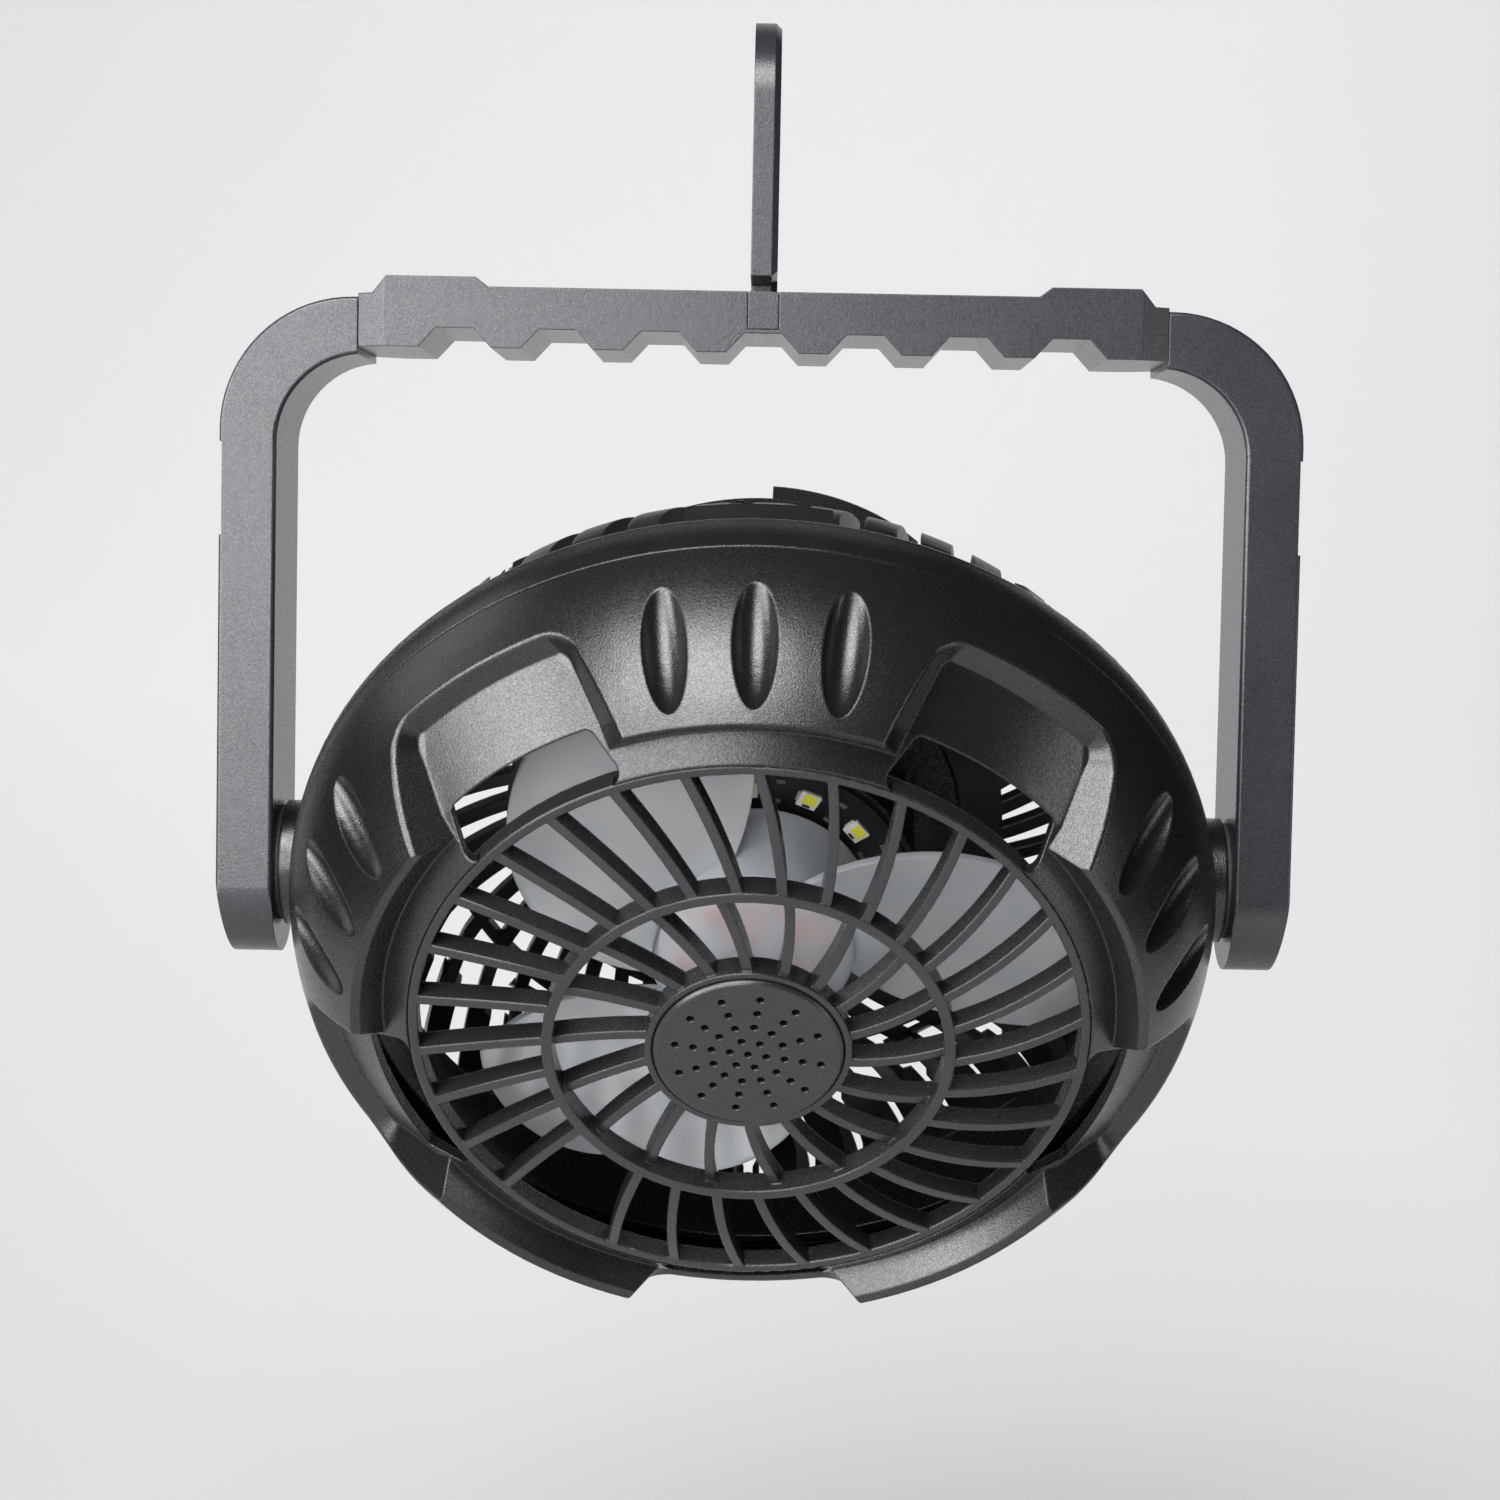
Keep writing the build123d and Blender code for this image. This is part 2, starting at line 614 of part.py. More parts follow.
with BuildPart() as hook_pivot_cover:
    with BuildSketch(FRONT.offset(CORE_DEPTH / 2 + FIT)):
        with Locations((0, (SLOT_FLOOR + GRIP_TOP) / 2)):
            Rectangle(COVER_BLOCK_WIDTH, GRIP_TOP - SLOT_FLOOR)
    extrude(amount=(GRIP_DEPTH - CORE_DEPTH) / 2 - 2 * FIT)
hook_pivot_cover.part.label = "hook_pivot_cover"
export_step(hook_pivot_cover.part, "parts/hook_pivot_cover.step")

with BuildPart() as grip_screws:
    for place in GRIP_SCREW_PLACES:
        seat = Plane(
            origin=PIVOT + Vector(place, SEAT_OF_GRIP_SCREW, GRIP_SCREW_HEIGHT),
            x_dir=(1, 0, 0),
            z_dir=(0, 1, 0),
        )
        screw(seat, GRIP_SCREW_RADIUS, GRIP_SCREW_LENGTH)
grip_screws.part.label = "grip_screws"
export_step(grip_screws.part, "parts/grip_screws.step")

with BuildPart() as hook_pin:
    disc(side_spot(-HOOK_PIN_LENGTH / 2, HOOK_PIN_HEIGHT),
         HOOK_PIN_RADIUS, HOOK_PIN_LENGTH)
hook_pin.part.label = "hook_pin"
export_step(hook_pin.part, "parts/hook_pin.step")

with BuildPart() as pivot_washers:
    for side in SIDES:
        tube(SIDE.offset(side * LEG_INNER), WASHER_RADIUS, BOLT_RADIUS + MOVING_GAP,
             -side * WASHER_THICKNESS)
pivot_washers.part.label = "pivot_washers"
export_step(pivot_washers.part, "parts/pivot_washers.step")

with BuildPart() as pivot_caps:
    for side in SIDES:
        disc(SIDE.offset(side * (BAIL_WIDTH / 2 - PIVOT_CAP_SINK)), BOLT_HEAD_RADIUS + MOVING_GAP,
             -side * PIVOT_CAP_THICKNESS)
pivot_caps.part.label = "pivot_caps"
export_step(pivot_caps.part, "parts/pivot_caps.step")

# ---------------------------------------------------------------- hook

ARC_HEIGHT = HOOK_TO_PIVOT - HOOK_INNER_RADIUS
HOOK_OUTER_RADIUS = HOOK_INNER_RADIUS + HOOK_WIDTH
TIP_HEIGHT = ARC_HEIGHT - HOOK_TIP_LENGTH

with BuildPart() as hook:
    with BuildSketch(SIDE):
        with BuildLine():
            ThreePointArc(
                (-HOOK_EYE_RADIUS, HOOK_PIN_HEIGHT),
                (0, HOOK_PIN_HEIGHT - HOOK_EYE_RADIUS),
                (HOOK_EYE_RADIUS, HOOK_PIN_HEIGHT),
            )
            Polyline(
                (HOOK_EYE_RADIUS, HOOK_PIN_HEIGHT),
                (HOOK_EYE_RADIUS, HOOK_SHANK_FOOT - HOOK_THROAT_DROP),
                (-HOOK_INNER_RADIUS, HOOK_SHANK_FOOT),
                (-HOOK_INNER_RADIUS, ARC_HEIGHT),
            )
            ThreePointArc(
                (-HOOK_INNER_RADIUS, ARC_HEIGHT),
                (0, HOOK_TO_PIVOT),
                (HOOK_INNER_RADIUS, ARC_HEIGHT),
            )
            Line((HOOK_INNER_RADIUS, ARC_HEIGHT), (HOOK_INNER_RADIUS, TIP_HEIGHT))
            ThreePointArc(
                (HOOK_INNER_RADIUS, TIP_HEIGHT),
                (HOOK_INNER_RADIUS + HOOK_WIDTH / 2, TIP_HEIGHT - HOOK_WIDTH / 2),
                (HOOK_OUTER_RADIUS, TIP_HEIGHT),
            )
            Line((HOOK_OUTER_RADIUS, TIP_HEIGHT), (HOOK_OUTER_RADIUS, ARC_HEIGHT))
            ThreePointArc(
                (HOOK_OUTER_RADIUS, ARC_HEIGHT),
                (0, HOOK_TO_PIVOT + HOOK_WIDTH),
                (-HOOK_OUTER_RADIUS, ARC_HEIGHT),
            )
            Polyline(
                (-HOOK_OUTER_RADIUS, ARC_HEIGHT),
                (-HOOK_OUTER_RADIUS, HOOK_NECK_TOP + HOOK_JOG_RISE),
                (-HOOK_EYE_RADIUS, HOOK_NECK_TOP),
                (-HOOK_EYE_RADIUS, HOOK_PIN_HEIGHT),
            )
        make_face()
    extrude(amount=HOOK_THICKNESS / 2, both=True)
    chamfer(hook.faces().sort_by(Axis.X)[-1].edges(), HOOK_CHAMFER)
    disc(side_spot(-HOOK_THICKNESS, HOOK_PIN_HEIGHT),
         HOOK_PIN_RADIUS + RUNNING, 2 * HOOK_THICKNESS, mode=Mode.SUBTRACT)
hook.part.label = "hook"
export_step(hook.part, "parts/hook.step")

# ---------------------------------------------------------------- head shell

LOBE_ANGLES = [index * 360 / LOBE_COUNT for index in range(LOBE_COUNT)]
WINDOW_ANGLES = [angle + 180 / LOBE_COUNT for angle in LOBE_ANGLES]
FLOOR_SLOPE = degrees(atan((RING_HEIGHT - FLOOR_END_HEIGHT) / (FLOOR_END_RADIUS - RING_RADIUS)))
WINDOW_SPAN = sqrt((RING_HEIGHT - FLOOR_END_HEIGHT) ** 2 + (FLOOR_END_RADIUS - RING_RADIUS) ** 2)


def window_plane(angle):
    """Plane along the floor of a window: local x runs round the head, local y inwards."""
    slope = radians(FLOOR_SLOPE)
    normal = outward(angle) * sin(slope) + FORWARD * cos(slope)
    place = PIVOT + outward(angle) * FLOOR_END_RADIUS + FORWARD * FLOOR_END_HEIGHT
    return Plane(origin=place, x_dir=outward(angle - 90), z_dir=normal)


with BuildPart() as front_bezel:
    with BuildSketch(section(0)):
        with BuildLine():
            ThreePointArc(
                (PARTING_RADIUS, PARTING_HEIGHT),
                (DOME_MID_RADIUS, DOME_MID_HEIGHT),
                (LIP_RADIUS, LIP_HEIGHT),
            )
            Polyline(
                (LIP_RADIUS, LIP_HEIGHT),
                (LIP_RADIUS - LIP_BEVEL, LIP_HEIGHT - LIP_BEVEL / 2),
                (LOBE_FOOT_RADIUS, LOBE_FOOT_HEIGHT),
                (RING_RADIUS, RING_HEIGHT),
                (RING_RADIUS, RING_HEIGHT - SHELL_WALL),
                (FLOOR_KNEE_RADIUS - SHELL_WALL * 0.7, FLOOR_KNEE_HEIGHT - SHELL_WALL * 0.75),
                (FLOOR_END_RADIUS - SHELL_WALL * 0.85, FLOOR_END_HEIGHT - SHELL_WALL * 0.5),
                (FLOOR_END_RADIUS + SHELL_WALL, FLOOR_END_HEIGHT - 3.4 * SHELL_WALL),
                (PARTING_RADIUS - SHELL_WALL, PARTING_HEIGHT),
                (PARTING_RADIUS, PARTING_HEIGHT),
            )
        make_face()
    revolve(axis=HEAD_AXIS)
    for angle in LOBE_ANGLES:
        disc(spot(SHELL_POST_CIRCLE, angle, SHELL_POST_MEET), SHELL_POST_RADIUS,
             FLOOR_END_HEIGHT - SHELL_WALL / 2 - SHELL_POST_MEET)

with BuildPart() as window_space:
    # Everything in front of the recessed floor
    turned([
        (RING_RADIUS - 1, RING_HEIGHT + 0.9),
        (RING_RADIUS, RING_HEIGHT),
        (FLOOR_KNEE_RADIUS, FLOOR_KNEE_HEIGHT),
        (FLOOR_END_RADIUS, FLOOR_END_HEIGHT),
        (FLOOR_END_RADIUS + SILL_WIDTH, FLOOR_END_HEIGHT - SILL_DROP),
        (2 * RIM_RADIUS, FLOOR_END_HEIGHT - SILL_DROP),
        (2 * RIM_RADIUS, 2 * LIP_HEIGHT),
        (RING_RADIUS - 1, 2 * LIP_HEIGHT),
    ])

with BuildPart() as windows:
    # Straight channels with drafted walls
    for angle in WINDOW_ANGLES:
        with BuildSketch(window_plane(angle).offset(-1)) as channel:
            with Locations((0, WINDOW_SPAN)):
                RectangleRounded(2 * WINDOW_HALF_WIDTH, 2 * WINDOW_SPAN, WINDOW_CORNER)
        extrude(channel.sketch, amount=WINDOW_DEPTH, taper=-WINDOW_DRAFT)
    add(window_space.part, mode=Mode.INTERSECT)

with BuildPart() as window_slots:
    # Long slots through the floor beside the ring
    for angle in WINDOW_ANGLES:
        corners = (
            across(angle - SLOT_INNER_HALF_ANGLE, RING_RADIUS),
            across(angle - SLOT_OUTER_HALF_ANGLE, FLOOR_KNEE_RADIUS),
            across(angle, FLOOR_KNEE_RADIUS),
            across(angle + SLOT_OUTER_HALF_ANGLE, FLOOR_KNEE_RADIUS),
            across(angle + SLOT_INNER_HALF_ANGLE, RING_RADIUS),
            across(angle, RING_RADIUS),
        )
        with BuildSketch(face(FLOOR_END_HEIGHT)) as slot:
            with BuildLine():
                Line(corners[0], corners[1])
                ThreePointArc(corners[1], corners[2], corners[3])
                Line(corners[3], corners[4])
                ThreePointArc(corners[4], corners[5], corners[0])
            make_face()
            fillet(slot.vertices(), SLOT_CORNER)
        extrude(slot.sketch, amount=RING_HEIGHT)

with BuildPart() as dimples:
    # Long shallow hollows, three on each lobe
    flank = atan((DIMPLE_HEIGHT - DOME_MID_HEIGHT) / (DOME_MID_RADIUS - DIMPLE_RADIUS))
    for lobe in LOBE_ANGLES:
        for step in (-1, 0, 1):
            angle = lobe + step * DIMPLE_PITCH
            along = FORWARD * sin(flank) - outward(angle) * cos(flank)
            above = outward(angle) * sin(flank) + FORWARD * cos(flank)
            place = PIVOT + outward(angle) * DIMPLE_RADIUS + FORWARD * DIMPLE_HEIGHT
            centre = place + above * (DIMPLE_WIDTH / 2 - DIMPLE_SINK)
            with BuildSketch(Plane(origin=centre, x_dir=along, z_dir=above)) as spindle:
                Ellipse(DIMPLE_LENGTH / 2, DIMPLE_WIDTH / 2)
                with Locations((0, DIMPLE_WIDTH)):
                    Rectangle(2 * DIMPLE_LENGTH, 2 * DIMPLE_WIDTH, mode=Mode.SUBTRACT)
            revolve(spindle.sketch, axis=Axis(centre, along))

with BuildPart() as bezel_final:
    add(front_bezel.part)
    add(windows.part, mode=Mode.SUBTRACT)
    dome = bezel_final.faces().filter_by(GeomType.REVOLUTION).sort_by(SortBy.AREA)[-1]
    fillet(dome.edges().filter_by(GeomType.BSPLINE), WINDOW_ROUND)
    add(window_slots.part, mode=Mode.SUBTRACT)
    add(dimples.part, mode=Mode.SUBTRACT)
    for angle in LOBE_ANGLES:
        disc(spot(SHELL_POST_CIRCLE, angle, SHELL_POST_MEET - 1), SHELL_SCREW_RADIUS,
             SHELL_SCREW_LENGTH, mode=Mode.SUBTRACT)
bezel_final.part.label = "front_bezel"
export_step(bezel_final.part, "parts/front_bezel.step")

GUARD_SCREW_CIRCLE = GUARD_RING_RADIUS - GUARD_RING_WIDTH / 2
GUARD_SCREW_SEAT = RIM_REAR_HEIGHT - SCREW_SEAT
WEB_FRONT = RIM_REAR_HEIGHT + SHELL_WALL
SHELL_SCREW_SEAT = WEB_FRONT + 0.8
MID_POST_TOP = SHELL_POST_MEET - FIT

with BuildPart() as mid_frame:
    with BuildSketch(section(90)):
        with BuildLine():
            ThreePointArc(
                (PARTING_RADIUS, PARTING_HEIGHT - FIT),
                (RIM_RADIUS, RIM_TOP_HEIGHT),
                (RIM_RADIUS - RIM_ROUND / 8, RIM_REAR_HEIGHT + RIM_ROUND),
            )
            ThreePointArc(
                (RIM_RADIUS - RIM_ROUND / 8, RIM_REAR_HEIGHT + RIM_ROUND),
                (RIM_RADIUS - RIM_ROUND / 3, RIM_REAR_HEIGHT + RIM_ROUND / 3),
                (RIM_REAR_RADIUS, RIM_REAR_HEIGHT),
            )
            Polyline(
                (RIM_REAR_RADIUS, RIM_REAR_HEIGHT),
                (DUCT_RADIUS, RIM_REAR_HEIGHT),
                (DUCT_RADIUS, DUCT_FRONT),
                (DUCT_RADIUS + DUCT_WALL, DUCT_FRONT),
                (DUCT_RADIUS + DUCT_WALL, WEB_FRONT),
                (RIM_RADIUS - SHELL_WALL, WEB_FRONT),
                (RIM_RADIUS - SHELL_WALL, RIM_TOP_HEIGHT),
                (PARTING_RADIUS - SHELL_WALL, PARTING_HEIGHT - FIT),
                (PARTING_RADIUS, PARTING_HEIGHT - FIT),
            )
        make_face()
    revolve(axis=HEAD_AXIS)
    for side in SIDES:
        disc(SIDE.offset(side * BOSS_INNER), BOSS_RADIUS, side * (BOSS_FACE - BOSS_INNER))
    for angle in LOBE_ANGLES:
        disc(spot(SHELL_POST_CIRCLE, angle, WEB_FRONT - 1), SHELL_POST_RADIUS,
             MID_POST_TOP - WEB_FRONT + 1)
    for angle in WINDOW_ANGLES:
        disc(spot(GUARD_SCREW_CIRCLE, angle, WEB_FRONT - 1), GUARD_POST_RADIUS,
             MID_POST_TOP - WEB_FRONT + 1)
    for angle in LOBE_ANGLES:
        disc(spot(SHELL_POST_CIRCLE, angle, 0), SHELL_SCREW_RADIUS + FIT, MID_POST_TOP + 1,
             mode=Mode.SUBTRACT)
        disc(spot(SHELL_POST_CIRCLE, angle, 0), 2 * SHELL_SCREW_RADIUS, SHELL_SCREW_SEAT,
             mode=Mode.SUBTRACT)
    for angle in WINDOW_ANGLES:
        disc(spot(GUARD_SCREW_CIRCLE, angle, 0), SMALL_SCREW_RADIUS, MID_POST_TOP - 1,
             mode=Mode.SUBTRACT)
    for side in SIDES:
        disc(SIDE.offset(side * (BOSS_INNER + 1)), BOLT_RADIUS, side * BOSS_RADIUS,
             mode=Mode.SUBTRACT)
mid_frame.part.label = "mid_frame"
export_step(mid_frame.part, "parts/mid_frame.step")

with BuildPart() as bezel_screws:
    for angle in LOBE_ANGLES:
        screw(flip(spot(SHELL_POST_CIRCLE, angle, SHELL_SCREW_SEAT)), SHELL_SCREW_RADIUS,
              SHELL_SCREW_LENGTH)
bezel_screws.part.label = "bezel_screws"
export_step(bezel_screws.part, "parts/bezel_screws.step")

with BuildPart() as pivot_bolts:
    for side in SIDES:
        disc(SIDE.offset(side * (BOSS_INNER + 1)), BOLT_RADIUS,
             side * (BOLT_SEAT + MOVING_GAP - BOSS_INNER - 1))
        disc(SIDE.offset(side * (BOLT_SEAT + MOVING_GAP)), BOLT_HEAD_RADIUS,
             side * BOLT_HEAD_HEIGHT)
        with BuildSketch(SIDE.offset(side * (BOLT_SEAT + MOVING_GAP + BOLT_HEAD_HEIGHT))) as hexagon:
            RegularPolygon(BOLT_RADIUS * 0.75, 6)
        extrude(hexagon.sketch, amount=-side * BOLT_HEAD_HEIGHT * 0.7, mode=Mode.SUBTRACT)
pivot_bolts.part.label = "pivot_bolts"
export_step(pivot_bolts.part, "parts/pivot_bolts.step")

# ---------------------------------------------------------------- front grille

RING_INNER = RING_RADIUS - RING_WIDTH
MID_RING_INNER = MID_RING_RADIUS - MID_RING_WIDTH
HUB_INNER = CAP_RADIUS + MOVING_GAP
INNER_BAR_HEIGHT = MID_RING_HEIGHT - INNER_BAR_DROP
BAR_OVERLAP = 0.8
TAB_LENGTH = 2.4
TAB_HALF_WIDTH = 6.0
TAB_FRONT = RING_HEIGHT - SHELL_WALL - 0.4
TAB_REAR = TAB_FRONT - 1.4


def bar_belt(outer, outer_height, inner, inner_height, bulge):
    """Dished ring that bounds the bars: an arc in front and a parallel arc behind."""
    middle = (outer + inner) / 2
    middle_height = (outer_height + inner_height) / 2 + bulge
    with BuildSketch(section(90)) as profile:
        with BuildLine():
            ThreePointArc((outer, outer_height), (middle, middle_height), (inner, inner_height))
            Line((inner, inner_height), (inner, inner_height - BAR_DEPTH))
            ThreePointArc(
                (inner, inner_height - BAR_DEPTH),
                (middle, middle_height - BAR_DEPTH),
                (outer, outer_height - BAR_DEPTH),
            )
            Line((outer, outer_height - BAR_DEPTH), (outer, outer_height))
        make_face()
    revolve(profile.sketch, axis=HEAD_AXIS, mode=Mode.INTERSECT)


with BuildPart() as outer_bars:
    for index in range(OUTER_BAR_COUNT):
        swirl_bar(face(0), OUTER_BAR_START + index * 360 / OUTER_BAR_COUNT,
                  RING_INNER + BAR_OVERLAP, MID_RING_RADIUS - BAR_OVERLAP, OUTER_BAR_SWEEP,
                  BAR_WIDTH, 2 * RING_HEIGHT)
    bar_belt(RING_INNER + BAR_OVERLAP, RING_HEIGHT - BAR_OVERLAP / 4,
             MID_RING_RADIUS - BAR_OVERLAP, MID_RING_HEIGHT - BAR_OVERLAP / 4, BAR_BULGE)

with BuildPart() as inner_bars:
    for index in range(INNER_BAR_COUNT):
        swirl_bar(face(0), INNER_BAR_START + index * 360 / INNER_BAR_COUNT,
                  MID_RING_INNER + BAR_OVERLAP, HUB_RADIUS - BAR_OVERLAP, INNER_BAR_SWEEP,
                  BAR_WIDTH, 2 * RING_HEIGHT)
    bar_belt(MID_RING_INNER + BAR_OVERLAP, INNER_BAR_HEIGHT + BAR_DEPTH / 2,
             HUB_RADIUS - BAR_OVERLAP, HUB_HEIGHT - BAR_OVERLAP, BAR_BULGE / 2)

with BuildPart() as front_grille:
    tube(face(RING_HEIGHT), RING_RADIUS - FIT, RING_INNER, -RING_DEPTH)
    fillet(front_grille.edges().sort_by(SortBy.LENGTH)[-4:].sort_by(HEAD_AXIS)[-2:], BAR_WIDTH / 4)
    tube(face(MID_RING_HEIGHT), MID_RING_RADIUS, MID_RING_INNER, -MID_RING_DEPTH)
    tube(face(HUB_HEIGHT), HUB_RADIUS, HUB_INNER, -HUB_DEPTH)
    disc(face(HUB_HEIGHT - HUB_DEPTH), HUB_RADIUS, HUB_FLOOR)
    add(outer_bars.part)
    add(inner_bars.part)
    for angle in LOBE_ANGLES:
        # Tabs that hook behind the bezel's ring
        with BuildSketch(section(angle)) as tab:
            with BuildLine():
                Polyline(
                    (RING_RADIUS - RING_WIDTH / 2, TAB_FRONT),
                    (RING_RADIUS, TAB_FRONT),
                    (RING_RADIUS + TAB_LENGTH, TAB_FRONT - TAB_LENGTH),
                    (RING_RADIUS + TAB_LENGTH, TAB_REAR - TAB_LENGTH),
                    (RING_RADIUS - RING_WIDTH / 2, TAB_REAR),
                    close=True,
                )
            make_face()
        extrude(tab.sketch, amount=TAB_HALF_WIDTH, both=True)
front_grille.part.label = "front_grille"
export_step(front_grille.part, "parts/front_grille.step")

CAP_FLOOR = HUB_HEIGHT - HUB_DEPTH + HUB_FLOOR

with BuildPart() as centre_cap:
    disc(face(CAP_FLOOR), CAP_RADIUS, CAP_HEIGHT - CAP_FLOOR)
    chamfer(centre_cap.faces().sort_by(HEAD_AXIS)[-1].edges(), CAP_EDGE)
    disc(face(CAP_FLOOR), CAP_RADIUS - CAP_TOP, CAP_HEIGHT - CAP_TOP - CAP_FLOOR,
         mode=Mode.SUBTRACT)
    with BuildSketch(face(CAP_FLOOR)) as holes:
        Circle(CAP_HOLE_RADIUS)
        for ring, (count, turn) in enumerate(((6, 30), (12, 0), (12, 0), (12, 0))):
            radius = (ring + 1) * CAP_HOLE_PITCH
            with PolarLocations(radius, count, start_angle=90 - CAP_HOLE_TURN - turn):
                Circle(CAP_HOLE_RADIUS)
    extrude(holes.sketch, amount=HUB_DEPTH + CAP_TOP, mode=Mode.SUBTRACT)
centre_cap.part.label = "centre_cap"
export_step(centre_cap.part, "parts/centre_cap.step")

# ---------------------------------------------------------------- rear guard and drum

GUARD_FRONT = GUARD_REAR + GUARD_PLATE
DRUM_SCREW_CIRCLE = (GUARD_HUB_INNER + DRUM_RADIUS) / 2
DRUM_SCREW_COUNT = 6
GUARD_RING_INNER = GUARD_RING_RADIUS - GUARD_RING_WIDTH
PAD_PLATE_TOP = (GUARD_WALL_RADIUS * cos(radians(PAD_SLOPE)) - PAD_LEVEL) / sin(radians(PAD_SLOPE))


def pad_plane(angle):
    """Sloping plane of a flat pad on the guard's shoulder: local x runs round the head."""
    normal = outward(angle) * cos(radians(PAD_SLOPE)) - FORWARD * sin(radians(PAD_SLOPE))
    return Plane(origin=PIVOT + normal * PAD_LEVEL, x_dir=outward(angle + 90), z_dir=normal)


GUARD_BUMP_SHARE = (GUARD_WALL_RADIUS - GUARD_BUMP_RADIUS) / (GUARD_WALL_RADIUS - GUARD_HUB_RADIUS)

with BuildPart() as guard_bars:
    # each bar widens into a bump on the shoulder
    for index in range(GUARD_BAR_COUNT):
        swirl_bar(face(GUARD_REAR - 1), index * 360 / GUARD_BAR_COUNT, GUARD_WALL_RADIUS + 1,
                  GUARD_HUB_RADIUS - 1, GUARD_BAR_SWEEP, GUARD_BAR_WIDTH,
                  RIM_REAR_HEIGHT - GUARD_REAR + 1)
        swirl_bar(face(GUARD_REAR - 1), index * 360 / GUARD_BAR_COUNT, GUARD_WALL_RADIUS + 1,
                  GUARD_BUMP_RADIUS, GUARD_BAR_SWEEP * GUARD_BUMP_SHARE, GUARD_BUMP_WIDTH,
                  RIM_REAR_HEIGHT - GUARD_REAR + 1)
    with BuildSketch(section(90)) as belt:
        with BuildLine():
            Line((GUARD_WALL_RADIUS, RIM_REAR_HEIGHT), (GUARD_WALL_RADIUS, GUARD_WALL_END))
            ThreePointArc(
                (GUARD_WALL_RADIUS, GUARD_WALL_END),
                (GUARD_SHOULDER_RADIUS, GUARD_SHOULDER_HEIGHT),
                (GUARD_FLAT_RADIUS, GUARD_REAR),
            )
            Polyline(
                (GUARD_FLAT_RADIUS, GUARD_REAR),
                (GUARD_HUB_RADIUS - 1, GUARD_REAR),
                (GUARD_HUB_RADIUS - 1, GUARD_FRONT),
                (GUARD_FLAT_RADIUS, GUARD_FRONT),
            )
            ThreePointArc(
                (GUARD_FLAT_RADIUS, GUARD_FRONT),
                (GUARD_INNER_SHOULDER_RADIUS, GUARD_INNER_SHOULDER_HEIGHT),
                (GUARD_WALL_RADIUS - GUARD_BAR_DEPTH, GUARD_WALL_END),
            )
            Polyline(
                (GUARD_WALL_RADIUS - GUARD_BAR_DEPTH, GUARD_WALL_END),
                (GUARD_WALL_RADIUS - GUARD_BAR_DEPTH, RIM_REAR_HEIGHT),
                (GUARD_WALL_RADIUS, RIM_REAR_HEIGHT),
            )
        make_face()
    revolve(belt.sketch, axis=HEAD_AXIS, mode=Mode.INTERSECT)
    for angle in LOBE_ANGLES:
        block(pad_plane(angle).offset(-PAD_THICKNESS / 2), PAD_WIDTH, 2 * PAD_WIDTH,
              GUARD_WALL_RADIUS / 4, mode=Mode.SUBTRACT)

with BuildPart() as guard_pads:
    for angle in LOBE_ANGLES:
        block(pad_plane(angle), PAD_WIDTH, 2 * PAD_WIDTH, -PAD_THICKNESS)
        block(spot(GUARD_WALL_RADIUS, angle, RIM_REAR_HEIGHT), 2 * GUARD_BAR_DEPTH, PAD_WIDTH,
              PAD_PLATE_TOP - RIM_REAR_HEIGHT - PAD_THICKNESS)
    turned([
        (GUARD_WALL_RADIUS, RIM_REAR_HEIGHT),
        (GUARD_WALL_RADIUS, PAD_PLATE_TOP - PAD_THICKNESS),
        (GUARD_WALL_RADIUS - PAD_THICKNESS, GUARD_REAR),
        (GUARD_FLAT_RADIUS - PAD_THICKNESS, GUARD_REAR),
        (GUARD_FLAT_RADIUS - PAD_THICKNESS, GUARD_FRONT),
        (GUARD_WALL_RADIUS - GUARD_BAR_DEPTH, GUARD_WALL_END),
        (GUARD_WALL_RADIUS - GUARD_BAR_DEPTH, RIM_REAR_HEIGHT),
    ], mode=Mode.INTERSECT)

with BuildPart() as rear_guard:
    tube(face(RIM_REAR_HEIGHT), GUARD_RING_RADIUS, GUARD_RING_INNER, -GUARD_RING_DEPTH)
    tube(face(GUARD_REAR), GUARD_MID_RADIUS, GUARD_MID_RADIUS - GUARD_MID_WIDTH, GUARD_PLATE)
    tube(face(GUARD_REAR), GUARD_HUB_RADIUS, GUARD_HUB_INNER, GUARD_PLATE)
    add(guard_bars.part)
    add(guard_pads.part)
    for angle in WINDOW_ANGLES:
        disc(spot(GUARD_SCREW_CIRCLE, angle, RIM_REAR_HEIGHT), SMALL_SCREW_RADIUS + FIT,
             -GUARD_RING_DEPTH, mode=Mode.SUBTRACT)
        disc(spot(GUARD_SCREW_CIRCLE, angle, GUARD_SCREW_SEAT), SHELL_POST_RADIUS,
             GUARD_REAR, mode=Mode.SUBTRACT)
    for index in range(DRUM_SCREW_COUNT):
        disc(spot(DRUM_SCREW_CIRCLE, index * 360 / DRUM_SCREW_COUNT, GUARD_REAR - 1),
             SMALL_SCREW_RADIUS + FIT, GUARD_PLATE + 2, mode=Mode.SUBTRACT)
rear_guard.part.label = "rear_guard"
export_step(rear_guard.part, "parts/rear_guard.step")

with BuildPart() as guard_screws:
    for angle in WINDOW_ANGLES:
        screw(flip(spot(GUARD_SCREW_CIRCLE, angle, GUARD_SCREW_SEAT)), SMALL_SCREW_RADIUS,
              MID_POST_TOP - 1 - GUARD_SCREW_SEAT)
guard_screws.part.label = "guard_screws"
export_step(guard_screws.part, "parts/guard_screws.step")

